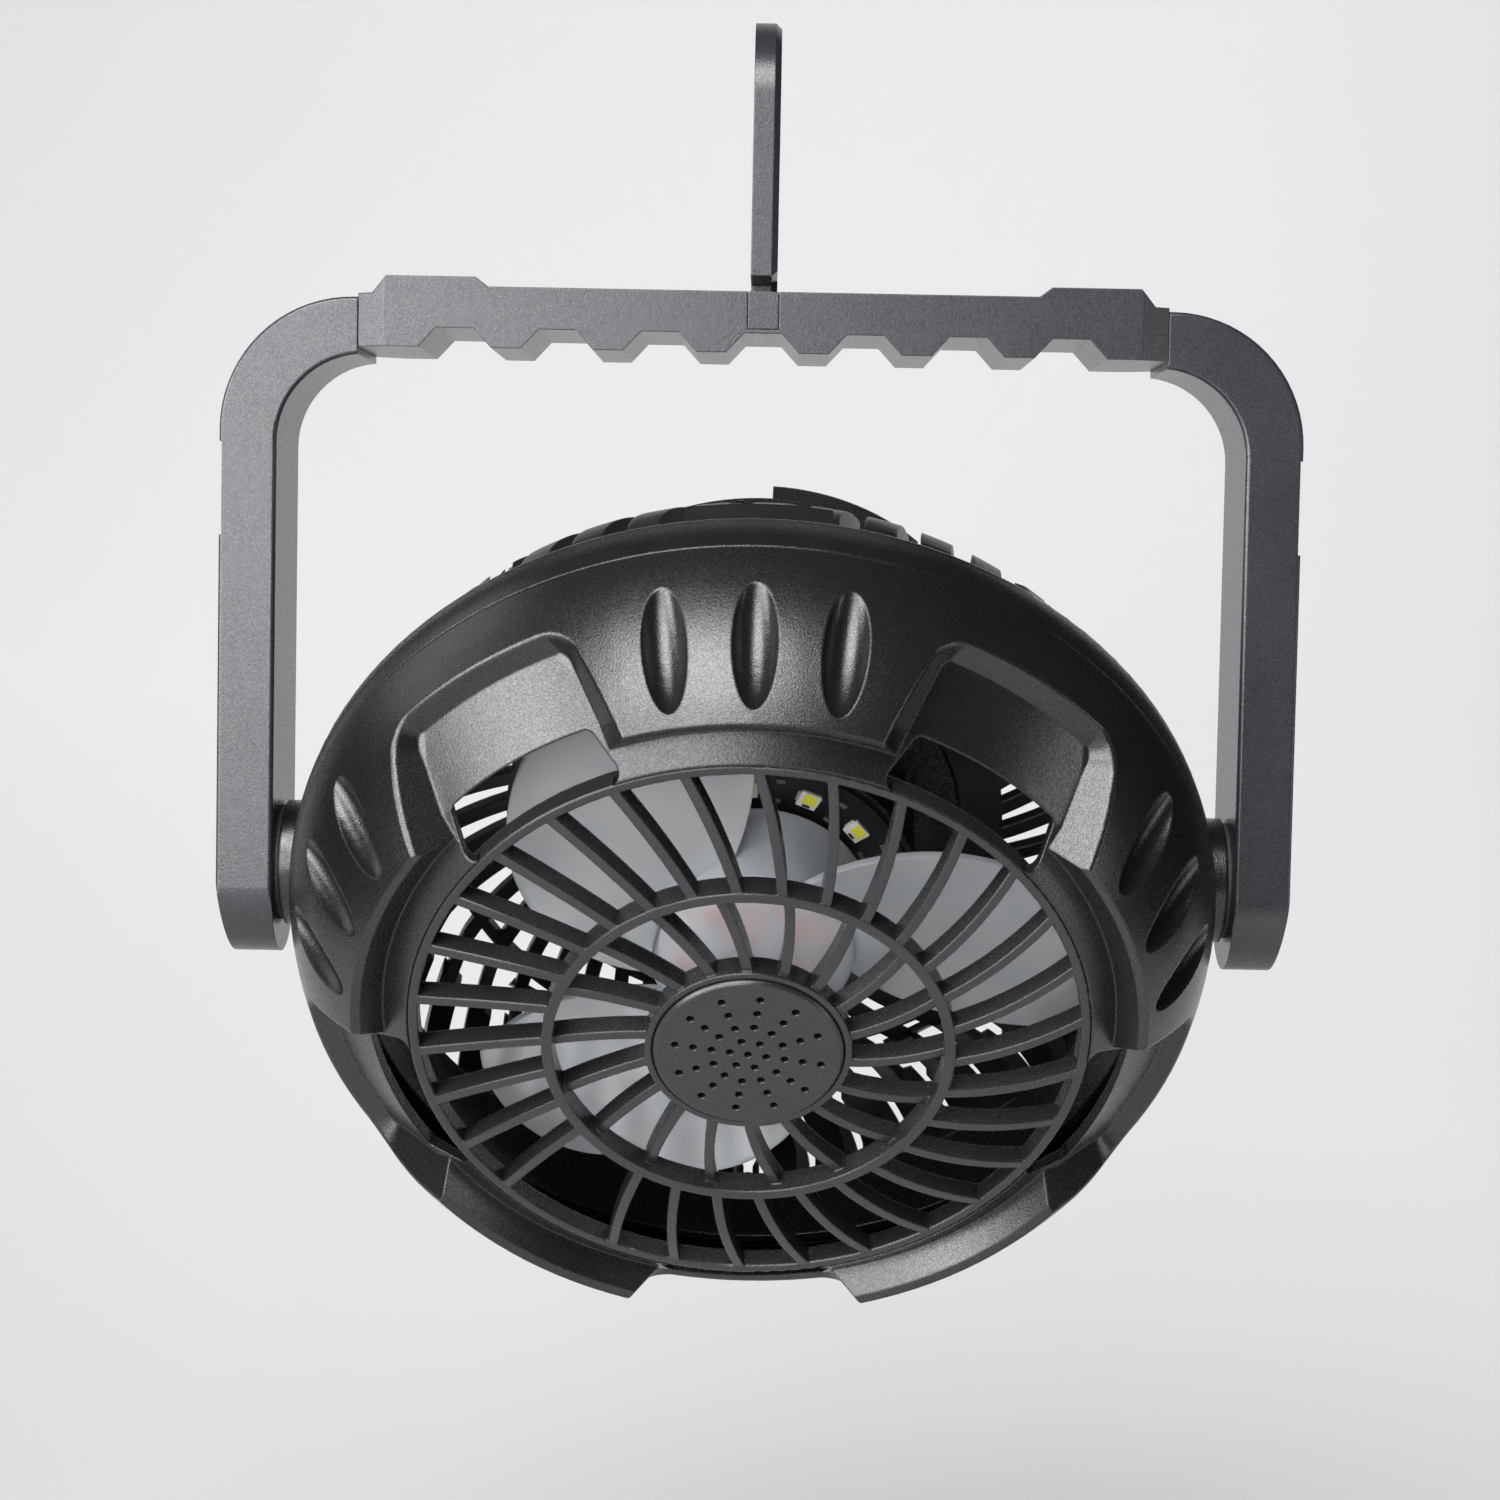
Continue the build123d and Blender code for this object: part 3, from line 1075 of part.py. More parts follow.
FOOT_ANGLES = [FOOT_START + index * 360 / FOOT_COUNT for index in range(FOOT_COUNT)]
COVER_SCREW_ANGLES = [angle + FOOT_ANGLE / 2 + 180 / FOOT_COUNT for angle in FOOT_ANGLES]
PORT_LAYER = BOARD_REAR - PORT_HEIGHT / 2
PORT_END = DRUM_RADIUS - DRUM_WALL / 2

with BuildPart() as drum_housing:
    disc(face(GUARD_REAR), DRUM_RADIUS, DRUM_REAR - GUARD_REAR)
    disc(face(DRUM_FLOOR), DRUM_INNER, DRUM_REAR - DRUM_FLOOR, mode=Mode.SUBTRACT)
    for angle in COVER_SCREW_ANGLES:
        disc(spot(DRUM_POST_CIRCLE, angle, DRUM_FLOOR), DRUM_POST_RADIUS, COVER_INNER - DRUM_FLOOR)
        disc(spot(DRUM_POST_CIRCLE, angle, COVER_INNER), SMALL_SCREW_RADIUS, COVER_SCREW_GRIP + 2,
             mode=Mode.SUBTRACT)
    disc(face(GUARD_REAR), DRUM_MOUTH, -DRUM_FRONT_WALL, mode=Mode.SUBTRACT)
    for index in range(DRUM_SCREW_COUNT):
        disc(spot(DRUM_SCREW_CIRCLE, index * 360 / DRUM_SCREW_COUNT, GUARD_REAR),
             SMALL_SCREW_RADIUS, -DRUM_FRONT_WALL, mode=Mode.SUBTRACT)
    for index in range(POD_SCREW_COUNT):
        disc(spot(POD_SCREW_CIRCLE, index * 360 / POD_SCREW_COUNT, GUARD_REAR),
             SMALL_SCREW_RADIUS, -DRUM_FRONT_WALL, mode=Mode.SUBTRACT)
    # Comb of slits round the rear rim, between the feet
    for foot_angle in FOOT_ANGLES:
        for index in range(SLIT_COUNT):
            turn = foot_angle - SLIT_START - index * SLIT_PITCH
            slit_height = COVER_RECESS - 2 * SLIT_RIM
            slit_place = (
                PIVOT + outward(turn) * (DRUM_INNER - 1)
                + FORWARD * (DRUM_REAR + SLIT_RIM + slit_height / 2)
            )
            block(Plane(origin=slit_place, x_dir=FORWARD, z_dir=outward(turn)),
                  slit_height, SLIT_WIDTH, DRUM_WALL + 2, mode=Mode.SUBTRACT)
    # Mouth of the charging port
    with BuildSketch(Plane(origin=PIVOT + FORWARD * PORT_LAYER, x_dir=SIDEWAYS, z_dir=-UPWARD)) as mouth:
        RectangleRounded(PORT_WIDTH + 2 * FIT, PORT_HEIGHT + 2 * FIT, PORT_HEIGHT / 2)
    extrude(mouth.sketch, amount=2 * DRUM_RADIUS, mode=Mode.SUBTRACT)
drum_housing.part.label = "drum_housing"
export_step(drum_housing.part, "parts/drum_housing.step")

with BuildPart() as drum_screws:
    for index in range(DRUM_SCREW_COUNT):
        screw(spot(DRUM_SCREW_CIRCLE, index * 360 / DRUM_SCREW_COUNT, GUARD_FRONT),
              SMALL_SCREW_RADIUS, GUARD_PLATE + DRUM_FRONT_WALL)
drum_screws.part.label = "drum_screws"
export_step(drum_screws.part, "parts/drum_screws.step")

BUTTON_PLACES = [(index - 1) * BUTTON_SPACING for index in range(3)]
STAKE_PLACES = [(index - 0.5) * BUTTON_SPACING for index in (-1, 0, 1, 2)]
STAKE_RADIUS = 0.9
LENS_PLACES = [(index - (LENS_COUNT - 1) / 2) * LENS_PITCH for index in range(LENS_COUNT)]


def rear_spot(x, y, height):
    """Plane across the head's axis that looks backwards, centred at a point of the rear."""
    return Plane(origin=PIVOT + SIDEWAYS * x + UPWARD * y + FORWARD * height,
                 x_dir=SIDEWAYS, z_dir=-FORWARD)


with BuildPart() as rear_cover:
    disc(face(COVER_FACE), DRUM_INNER - FIT, COVER_PLATE)
    # Curved feet that the fan stands on when it is laid on its back
    for foot_angle in FOOT_ANGLES:
        with BuildSketch(section(foot_angle + FOOT_ANGLE)) as foot:
            with BuildLine():
                Polyline(
                    (DRUM_RADIUS - FOOT_WIDTH, COVER_FACE + 1),
                    (DRUM_INNER - 2 * FIT, COVER_FACE + 1),
                    (DRUM_INNER - 2 * FIT, DRUM_REAR),
                    (DRUM_RADIUS, DRUM_REAR),
                    (DRUM_RADIUS, FOOT_END),
                    (DRUM_RADIUS - FOOT_WIDTH, FOOT_END),
                    close=True,
                )
            make_face()
        revolve(foot.sketch, axis=HEAD_AXIS, revolution_arc=FOOT_ANGLE)
    for place in STAKE_PLACES:
        stake_foot = flip(rear_spot(place, 0, COVER_INNER))
        disc(stake_foot, 2 * STAKE_RADIUS, BUTTON_BOARD_REAR - COVER_INNER)
        disc(stake_foot, STAKE_RADIUS, BUTTON_BOARD_FRONT - COVER_INNER)
        disc(flip(rear_spot(place, 0, BUTTON_BOARD_FRONT)), 1.6 * STAKE_RADIUS, STAKE_RADIUS / 3)
    for place in BUTTON_PLACES:
        disc(rear_spot(place, 0, COVER_INNER), BUTTON_RADIUS + MOVING_GAP, COVER_PLATE,
             mode=Mode.SUBTRACT)
    for place in LENS_PLACES:
        disc(rear_spot(place, -LENS_DROP, COVER_INNER), LENS_RADIUS, COVER_PLATE, mode=Mode.SUBTRACT)
    for angle in COVER_SCREW_ANGLES:
        disc(spot(DRUM_POST_CIRCLE, angle, COVER_FACE), SMALL_SCREW_RADIUS + FIT, COVER_PLATE,
             mode=Mode.SUBTRACT)
rear_cover.part.label = "rear_cover"
export_step(rear_cover.part, "parts/rear_cover.step")

with BuildPart() as cover_screws:
    for angle in COVER_SCREW_ANGLES:
        screw(flip(spot(DRUM_POST_CIRCLE, angle, COVER_FACE)), SMALL_SCREW_RADIUS,
              COVER_PLATE + COVER_SCREW_GRIP)
cover_screws.part.label = "cover_screws"
export_step(cover_screws.part, "parts/cover_screws.step")

with BuildPart() as indicator_lens:
    for place in LENS_PLACES:
        disc(rear_spot(place, -LENS_DROP, COVER_INNER), LENS_RADIUS, COVER_PLATE + LENS_DEPTH)
indicator_lens.part.label = "indicator_lens"
export_step(indicator_lens.part, "parts/indicator_lens.step")

# ---------------------------------------------------------------- buttons

for button_name, place in zip(("light_button", "fan_button", "timer_button"), BUTTON_PLACES):
    with BuildPart() as button:
        disc(rear_spot(place, 0, BUTTON_FLANGE_FRONT), BUTTON_FLANGE_RADIUS, BUTTON_FLANGE)
        disc(rear_spot(place, 0, BUTTON_FLANGE_FRONT), BUTTON_RADIUS,
             BUTTON_FLANGE_FRONT - COVER_FACE + BUTTON_PROUD)
        fillet(button.faces().sort_by(HEAD_AXIS)[0].edges(), BUTTON_PROUD / 3)
    button.part.label = button_name
    export_step(button.part, f"parts/{button_name}.step")

with BuildPart() as tact_switches:
    for place in BUTTON_PLACES:
        block(rear_spot(place, 0, BUTTON_BOARD_REAR), SWITCH_SIZE, SWITCH_SIZE, SWITCH_HEIGHT)
        disc(rear_spot(place, 0, BUTTON_BOARD_REAR), PLUNGER_RADIUS, SWITCH_HEIGHT + PLUNGER_HEIGHT)
tact_switches.part.label = "tact_switches"
export_step(tact_switches.part, "parts/tact_switches.step")

with BuildPart() as button_board:
    with BuildSketch(rear_spot(0, 0, BUTTON_BOARD_FRONT)):
        RectangleRounded(BUTTON_BOARD_LENGTH, BUTTON_BOARD_WIDTH, BOARD_CORNER)
        for place in STAKE_PLACES:
            with Locations((place, 0)):
                Circle(STAKE_RADIUS, mode=Mode.SUBTRACT)
    extrude(amount=BUTTON_BOARD_THICKNESS)
button_board.part.label = "button_board"
export_step(button_board.part, "parts/button_board.step")

# ---------------------------------------------------------------- battery and control board

BOARD_POST_PLACES = [(x * BOARD_POST_X, y * BOARD_POST_Y) for x in SIDES for y in SIDES]
HOLDER_END = CELL_LENGTH / 2 + CELL_GAP
HOLDER_END_WALL = HOLDER_WIDTH / 2 - HOLDER_END

with BuildPart() as battery_holder:
    with BuildSketch(rear_spot(0, 0, DRUM_FLOOR)):
        Circle(DRUM_INNER - CELL_GAP)
        Rectangle(HOLDER_WIDTH, 2 * DRUM_RADIUS, mode=Mode.INTERSECT)
    extrude(amount=HOLDER_PLATE)
    for angle in COVER_SCREW_ANGLES:
        disc(spot(DRUM_POST_CIRCLE, angle, DRUM_FLOOR), DRUM_POST_RADIUS + CELL_GAP, -HOLDER_PLATE,
             mode=Mode.SUBTRACT)
    for side in SIDES:
        block(rear_spot(side * (HOLDER_END + HOLDER_END_WALL / 2), 0, DRUM_FLOOR),
              HOLDER_END_WALL, CELL_COUNT * CELL_PITCH, DRUM_FLOOR - CELL_LAYER + CELL_RADIUS / 2)
    # Cradles between the end walls
    for place in (-HOLDER_END / 2, HOLDER_END / 2):
        block(rear_spot(place, 0, DRUM_FLOOR), HOLDER_END_WALL, CELL_COUNT * CELL_PITCH,
              DRUM_FLOOR - CELL_LAYER)
    for index in range(CELL_COUNT):
        row = (index - (CELL_COUNT - 1) / 2) * CELL_PITCH
        cell_end = PIVOT + UPWARD * row + FORWARD * CELL_LAYER - SIDEWAYS * HOLDER_END
        disc(Plane(origin=cell_end, x_dir=FORWARD, z_dir=SIDEWAYS), CELL_RADIUS + FIT,
             2 * HOLDER_END, mode=Mode.SUBTRACT)
    for x, y in BOARD_POST_PLACES:
        disc(rear_spot(x, y, DRUM_FLOOR), BOARD_POST_RADIUS, DRUM_FLOOR - BOARD_FRONT)
        disc(rear_spot(x, y, BOARD_FRONT), SMALL_SCREW_RADIUS, -BOARD_SCREW_GRIP - 1,
             mode=Mode.SUBTRACT)
battery_holder.part.label = "battery_holder"
export_step(battery_holder.part, "parts/battery_holder.step")

with BuildPart() as battery_cells:
    for index in range(CELL_COUNT):
        row = (index - (CELL_COUNT - 1) / 2) * CELL_PITCH
        cell_end = PIVOT + UPWARD * row + FORWARD * CELL_LAYER - SIDEWAYS * CELL_LENGTH / 2
        disc(Plane(origin=cell_end, x_dir=FORWARD, z_dir=SIDEWAYS), CELL_RADIUS, CELL_LENGTH)
battery_cells.part.label = "battery_cells"
export_step(battery_cells.part, "parts/battery_cells.step")

with BuildPart() as control_board:
    with BuildSketch(rear_spot(0, 0, BOARD_FRONT)):
        RectangleRounded(BOARD_WIDTH, BOARD_HEIGHT, BOARD_CORNER)
        with Locations((0, BOARD_TAB_REACH / 2)):
            Rectangle(BOARD_TAB_WIDTH, BOARD_TAB_REACH)
        for x, y in BOARD_POST_PLACES:
            with Locations((x, y)):
                Circle(SMALL_SCREW_RADIUS + FIT, mode=Mode.SUBTRACT)
    extrude(amount=BOARD_THICKNESS)
    for angle in COVER_SCREW_ANGLES:
        disc(spot(DRUM_POST_CIRCLE, angle, BOARD_FRONT), DRUM_POST_RADIUS + CELL_GAP,
             -BOARD_THICKNESS, mode=Mode.SUBTRACT)
    for x, y, width, height, depth in BOARD_CHIPS:
        block(rear_spot(x, y, BOARD_REAR), width, height, depth)
    for x, y in CAPACITOR_PLACES:
        disc(rear_spot(x, y, BOARD_REAR), CAPACITOR_RADIUS, CAPACITOR_HEIGHT)
control_board.part.label = "control_board"
export_step(control_board.part, "parts/control_board.step")

with BuildPart() as board_screws:
    for x, y in BOARD_POST_PLACES:
        screw(rear_spot(x, y, BOARD_REAR), SMALL_SCREW_RADIUS,
              BOARD_THICKNESS + BOARD_SCREW_GRIP)
board_screws.part.label = "board_screws"
export_step(board_screws.part, "parts/board_screws.step")

with BuildPart() as usb_c_port:
    port_start = PIVOT + FORWARD * PORT_LAYER - UPWARD * (PORT_END - PORT_LENGTH)
    port_plane = Plane(origin=port_start, x_dir=SIDEWAYS, z_dir=-UPWARD)
    with BuildSketch(port_plane):
        RectangleRounded(PORT_WIDTH, PORT_HEIGHT, PORT_HEIGHT / 2 - FIT)
    extrude(amount=PORT_LENGTH)
    with BuildSketch(port_plane.offset(1)):
        RectangleRounded(PORT_WIDTH - 2 * PORT_SHELL, PORT_HEIGHT - 2 * PORT_SHELL,
                         PORT_HEIGHT / 2 - PORT_SHELL - FIT)
    extrude(amount=PORT_LENGTH, mode=Mode.SUBTRACT)
    block(port_plane, PORT_WIDTH * 0.7, PORT_SHELL * 2, PORT_LENGTH * 0.85)
usb_c_port.part.label = "usb_c_port"
export_step(usb_c_port.part, "parts/usb_c_port.step")

# ---------------------------------------------------------------- motor pod, lights and motor

with BuildPart() as motor_pod:
    tube(face(GUARD_REAR), POD_FLANGE_RADIUS, POD_RADIUS - POD_WALL, POD_FLANGE)
    tube(face(GUARD_REAR), POD_RADIUS, POD_RADIUS - POD_WALL, POD_FRONT - GUARD_REAR)
    disc(face(POD_FRONT), POD_RADIUS, -POD_PLATE)
    disc(face(SHAFT_FOOT), BEARING_TUBE_RADIUS, BEARING_TUBE_TOP - SHAFT_FOOT)
    disc(face(SHAFT_FOOT), BEARING_RADIUS, BEARING_TUBE_TOP, mode=Mode.SUBTRACT)
    for index in range(POD_SCREW_COUNT):
        disc(spot(POD_SCREW_CIRCLE, index * 360 / POD_SCREW_COUNT, GUARD_REAR),
             SMALL_SCREW_RADIUS + FIT, POD_FLANGE, mode=Mode.SUBTRACT)
motor_pod.part.label = "motor_pod"
export_step(motor_pod.part, "parts/motor_pod.step")

with BuildPart() as pod_screws:
    for index in range(POD_SCREW_COUNT):
        screw(spot(POD_SCREW_CIRCLE, index * 360 / POD_SCREW_COUNT, GUARD_REAR + POD_FLANGE),
              SMALL_SCREW_RADIUS, POD_FLANGE + DRUM_FRONT_WALL)
pod_screws.part.label = "pod_screws"
export_step(pod_screws.part, "parts/pod_screws.step")

with BuildPart() as bearings:
    for height in (SHAFT_FOOT, BEARING_TUBE_TOP - BEARING_LENGTH):
        tube(face(height), BEARING_RADIUS, SHAFT_RADIUS + RUNNING, BEARING_LENGTH)
bearings.part.label = "bearings"
export_step(bearings.part, "parts/bearings.step")

with BuildPart() as led_board:
    tube(face(POD_FRONT), LED_BOARD_OUTER, LED_BOARD_INNER, LED_BOARD_THICKNESS)
led_board.part.label = "led_board"
export_step(led_board.part, "parts/led_board.step")

with BuildPart() as led_packages:
    for index in range(LED_COUNT):
        angle = LED_START + index * 360 / LED_COUNT
        block(spot(LED_CIRCLE, angle, LED_BOARD_TOP), LED_WIDTH, LED_LENGTH, LED_HEIGHT)
led_packages.part.label = "led_packages"
export_step(led_packages.part, "parts/led_packages.step")

TOOTH_ANGLES = [index * 360 / TOOTH_COUNT for index in range(TOOTH_COUNT)]
SHOE_ANGLE = 360 / TOOTH_COUNT * SHOE_SHARE

with BuildPart() as stator_core:
    with BuildSketch(face(STATOR_BOTTOM)):
        Circle(STATOR_HUB)
        for angle in TOOTH_ANGLES:
            with Locations(Location((0, 0, 0), (0, 0, angle))):
                with Locations(((STATOR_RADIUS - SHOE_THICKNESS / 2) / 2, 0)):
                    Rectangle(STATOR_RADIUS - SHOE_THICKNESS / 2, TOOTH_WIDTH)
        Circle(BEARING_TUBE_RADIUS, mode=Mode.SUBTRACT)
    extrude(amount=STATOR_HEIGHT)
    for angle in TOOTH_ANGLES:
        shoe = []
        for share in (-0.5, 0, 0.5):
            shoe.append(across(90 - angle + share * SHOE_ANGLE, STATOR_RADIUS))
        for share in (0.5, 0, -0.5):
            shoe.append(across(90 - angle + share * SHOE_ANGLE, STATOR_RADIUS - SHOE_THICKNESS))
        with BuildSketch(face(STATOR_BOTTOM)) as shoe_profile:
            with BuildLine():
                ThreePointArc(*shoe[:3])
                Line(shoe[2], shoe[3])
                ThreePointArc(*shoe[3:])
                Line(shoe[5], shoe[0])
            make_face()
        extrude(shoe_profile.sketch, amount=STATOR_HEIGHT)
stator_core.part.label = "stator_core"
export_step(stator_core.part, "parts/stator_core.step")

COIL_START = STATOR_HUB + COIL_INSET
COIL_REACH = STATOR_RADIUS - SHOE_THICKNESS - AIR_GAP - COIL_START

with BuildPart() as stator_coils:
    for angle in TOOTH_ANGLES:
        direction = outward(90 - angle)
        coil_place = PIVOT + FORWARD * (STATOR_BOTTOM + STATOR_HEIGHT / 2) + direction * COIL_START
        with BuildSketch(Plane(origin=coil_place, x_dir=FORWARD, z_dir=direction)) as winding:
            RectangleRounded(STATOR_HEIGHT + 2 * COIL_THICKNESS, TOOTH_WIDTH + 2 * COIL_THICKNESS,
                             COIL_THICKNESS)
            Rectangle(STATOR_HEIGHT, TOOTH_WIDTH, mode=Mode.SUBTRACT)
        extrude(winding.sketch, amount=COIL_REACH)
stator_coils.part.label = "stator_coils"
export_step(stator_coils.part, "parts/stator_coils.step")

# ---------------------------------------------------------------- impeller

HUB_BORE = YOKE_OUTER
BOSS_BOTTOM = BEARING_TUBE_TOP + MOVING_GAP
SHAFT_BOTTOM = SHAFT_FOOT - 2 * SHAFT_CLIP_THICKNESS

with BuildPart() as magnet_ring:
    tube(face(STATOR_BOTTOM - 1), MAGNET_OUTER, MAGNET_OUTER - MAGNET_THICKNESS, MAGNET_HEIGHT)
magnet_ring.part.label = "magnet_ring"
export_step(magnet_ring.part, "parts/magnet_ring.step")

with BuildPart() as rotor_yoke:
    tube(face(STATOR_BOTTOM - 1), YOKE_OUTER, MAGNET_OUTER, MAGNET_HEIGHT)
rotor_yoke.part.label = "rotor_yoke"
export_step(rotor_yoke.part, "parts/rotor_yoke.step")

with BuildPart() as motor_shaft:
    disc(face(SHAFT_BOTTOM), SHAFT_RADIUS, HUB_CEILING - SHAFT_BOTTOM)
motor_shaft.part.label = "motor_shaft"
export_step(motor_shaft.part, "parts/motor_shaft.step")

with BuildPart() as shaft_clip:
    tube(face(SHAFT_FOOT - MOVING_GAP), SHAFT_CLIP_RADIUS, SHAFT_RADIUS, -SHAFT_CLIP_THICKNESS)
shaft_clip.part.label = "shaft_clip"
export_step(shaft_clip.part, "parts/shaft_clip.step")


def blade_plate(angle):
    """Cambered plate that reaches out along a radius and climbs as it goes round the hub."""
    place = PIVOT + outward(angle) * ROTOR_HUB_TOP_RADIUS / 2 + FORWARD * BLADE_HEIGHT
    plane = Plane(origin=place, x_dir=outward(angle - 90), z_dir=outward(angle))
    rise = BLADE_REACH * tan(radians(BLADE_PITCH))
    half = BLADE_THICKNESS / 2
    with BuildSketch(plane) as rib:
        with BuildLine():
            ThreePointArc(
                (-BLADE_REACH, -rise - half),
                (0, BLADE_CAMBER - half),
                (BLADE_REACH, rise - half),
            )
            Line((BLADE_REACH, rise - half), (BLADE_REACH, rise + half))
            ThreePointArc(
                (BLADE_REACH, rise + half),
                (0, BLADE_CAMBER + half),
                (-BLADE_REACH, -rise + half),
            )
            Line((-BLADE_REACH, -rise + half), (-BLADE_REACH, -rise - half))
        make_face()
    return extrude(rib.sketch, amount=BLADE_TIP_RADIUS, mode=Mode.PRIVATE)


def blade_outline(angle):
    """Planform of a blade as a tall prism."""
    with BuildSketch(face(0)) as planform:
        with BuildLine():
            for edge in (BLADE_LEADING, BLADE_TIP, BLADE_TRAILING):
                ThreePointArc(*[across(angle + turn, radius) for radius, turn in edge])
            Line(across(angle + BLADE_TRAILING[-1][1], BLADE_TRAILING[-1][0]),
                 across(angle + BLADE_LEADING[0][1], BLADE_LEADING[0][0]))
        make_face()
    return extrude(planform.sketch, amount=2 * RING_HEIGHT, mode=Mode.PRIVATE)


with BuildPart() as blades:
    for index in range(BLADE_COUNT):
        start = BLADE_TURN + index * 360 / BLADE_COUNT
        add(blade_plate(start + BLADE_MIDDLE) & blade_outline(start))
    disc(face(0), HUB_BORE + ROTOR_HUB_WALL / 2, 2 * RING_HEIGHT, mode=Mode.SUBTRACT)

with BuildPart() as impeller:
    # Hollow domed hub, with a boss that grips the shaft
    with BuildSketch(section(90)):
        with BuildLine():
            Polyline(
                (0, ROTOR_HUB_TOP),
                (0, HUB_CEILING),
                (SHAFT_RADIUS, HUB_CEILING),
                (SHAFT_RADIUS, BOSS_BOTTOM),
                (BEARING_TUBE_RADIUS, BOSS_BOTTOM),
                (BEARING_TUBE_RADIUS, HUB_CEILING - MOVING_GAP),
                (HUB_BORE, ROTOR_HUB_SHOULDER - ROTOR_HUB_WALL),
                (HUB_BORE, ROTOR_HUB_BOTTOM),
                (ROTOR_HUB_RADIUS, ROTOR_HUB_BOTTOM),
                (ROTOR_HUB_TOP_RADIUS, ROTOR_HUB_SHOULDER),
            )
            ThreePointArc(
                (ROTOR_HUB_TOP_RADIUS, ROTOR_HUB_SHOULDER),
                (ROTOR_HUB_DOME_RADIUS, ROTOR_HUB_DOME_HEIGHT),
                (0, ROTOR_HUB_TOP),
            )
        make_face()
    revolve(axis=HEAD_AXIS)
    add(blades.part)
impeller.part.label = "impeller"
export_step(impeller.part, "parts/impeller.step")
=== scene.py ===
"""Looks of the portable camping fan: materials, the lights' small pieces, studio and camera.

Lengths are in metres in the row frame: the origin is the hook's seat, +Z is up, and the fan's face
looks towards -Y and down. Head coordinates are (radius, angle, height): the angle is in degrees
clockwise from the head's top as seen from its front, and the height is along the way it blows.
"""
from math import cos, pi, radians, sin

import bpy
from mathutils import Matrix, Vector


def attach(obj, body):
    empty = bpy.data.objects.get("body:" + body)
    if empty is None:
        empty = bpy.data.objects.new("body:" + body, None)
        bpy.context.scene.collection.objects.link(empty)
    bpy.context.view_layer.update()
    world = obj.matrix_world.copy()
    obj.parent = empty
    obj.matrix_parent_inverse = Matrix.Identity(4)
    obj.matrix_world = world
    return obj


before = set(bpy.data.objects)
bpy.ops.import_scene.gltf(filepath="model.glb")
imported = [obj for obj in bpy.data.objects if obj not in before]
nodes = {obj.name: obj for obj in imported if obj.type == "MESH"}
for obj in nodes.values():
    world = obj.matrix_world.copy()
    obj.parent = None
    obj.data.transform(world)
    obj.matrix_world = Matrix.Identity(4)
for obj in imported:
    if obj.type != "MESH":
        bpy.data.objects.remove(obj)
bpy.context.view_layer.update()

MM = 0.001

# ---------------------------------------------------------------- head coordinates

TILT = radians(33.8)
PIVOT = Vector((0.0, 0.0, -0.168))
FORWARD = Vector((0.0, -cos(TILT), -sin(TILT)))
UPWARD = Vector((0.0, -sin(TILT), cos(TILT)))
RIGHT = Vector((1.0, 0.0, 0.0))


def head_point(radius, angle, height):
    """Row-frame point of head coordinates, with lengths in millimetres and the angle in degrees."""
    turn = radians(angle)
    across = RIGHT * sin(turn) + UPWARD * cos(turn)
    return PIVOT + (across * radius + FORWARD * height) * MM


# ---------------------------------------------------------------- shader helpers

PLASTIC_IOR = 1.5
MILKY_IOR = 1.45
PLAIN_SPECULAR = 0.5
CLOUDS_PER_METRE = 60
FACETS_PER_GRAIN = 1.6
NOISE_LOW, NOISE_HIGH = 0.3, 0.7


def new_material(name):
    """Material with an empty node tree, its shader and its output."""
    material = bpy.data.materials.new(name)
    material.use_nodes = True
    tree = material.node_tree
    tree.nodes.clear()
    output = tree.nodes.new("ShaderNodeOutputMaterial")
    shader = tree.nodes.new("ShaderNodeBsdfPrincipled")
    tree.links.new(shader.outputs["BSDF"], output.inputs["Surface"])
    return material, tree, shader


def object_noise(tree, scale, detail=2.0, roughness=0.5):
    """Noise that is fixed to the object, with the scale in features per metre."""
    coordinates = tree.nodes.new("ShaderNodeTexCoord")
    noise = tree.nodes.new("ShaderNodeTexNoise")
    noise.inputs["Scale"].default_value = scale
    noise.inputs["Detail"].default_value = detail
    noise.inputs["Roughness"].default_value = roughness
    tree.links.new(coordinates.outputs["Object"], noise.inputs["Vector"])
    return noise.outputs["Fac"]


def object_cells(tree, scale):
    """Cells that are fixed to the object, each with a random value between 0 and 1."""
    coordinates = tree.nodes.new("ShaderNodeTexCoord")
    cells = tree.nodes.new("ShaderNodeTexVoronoi")
    cells.inputs["Scale"].default_value = scale
    tree.links.new(coordinates.outputs["Object"], cells.inputs["Vector"])
    parts = tree.nodes.new("ShaderNodeSeparateColor")
    tree.links.new(cells.outputs["Color"], parts.inputs["Color"])
    return parts.outputs["Red"]


def ramp(tree, source, stops):
    """Colour ramp over a value, from (position, colour) stops."""
    node = tree.nodes.new("ShaderNodeValToRGB")
    while len(node.color_ramp.elements) < len(stops):
        node.color_ramp.elements.new(0.5)
    for element, (position, colour) in zip(node.color_ramp.elements, stops):
        element.position = position
        element.color = (*colour, 1.0)
    tree.links.new(source, node.inputs["Fac"])
    return node.outputs["Color"]


def remap(tree, source, low, high, from_low=0.0, from_high=1.0):
    """Value moved linearly from one range to another."""
    node = tree.nodes.new("ShaderNodeMapRange")
    node.inputs["From Min"].default_value = from_low
    node.inputs["From Max"].default_value = from_high
    node.inputs["To Min"].default_value = low
    node.inputs["To Max"].default_value = high
    tree.links.new(source, node.inputs["Value"])
    return node.outputs["Result"]


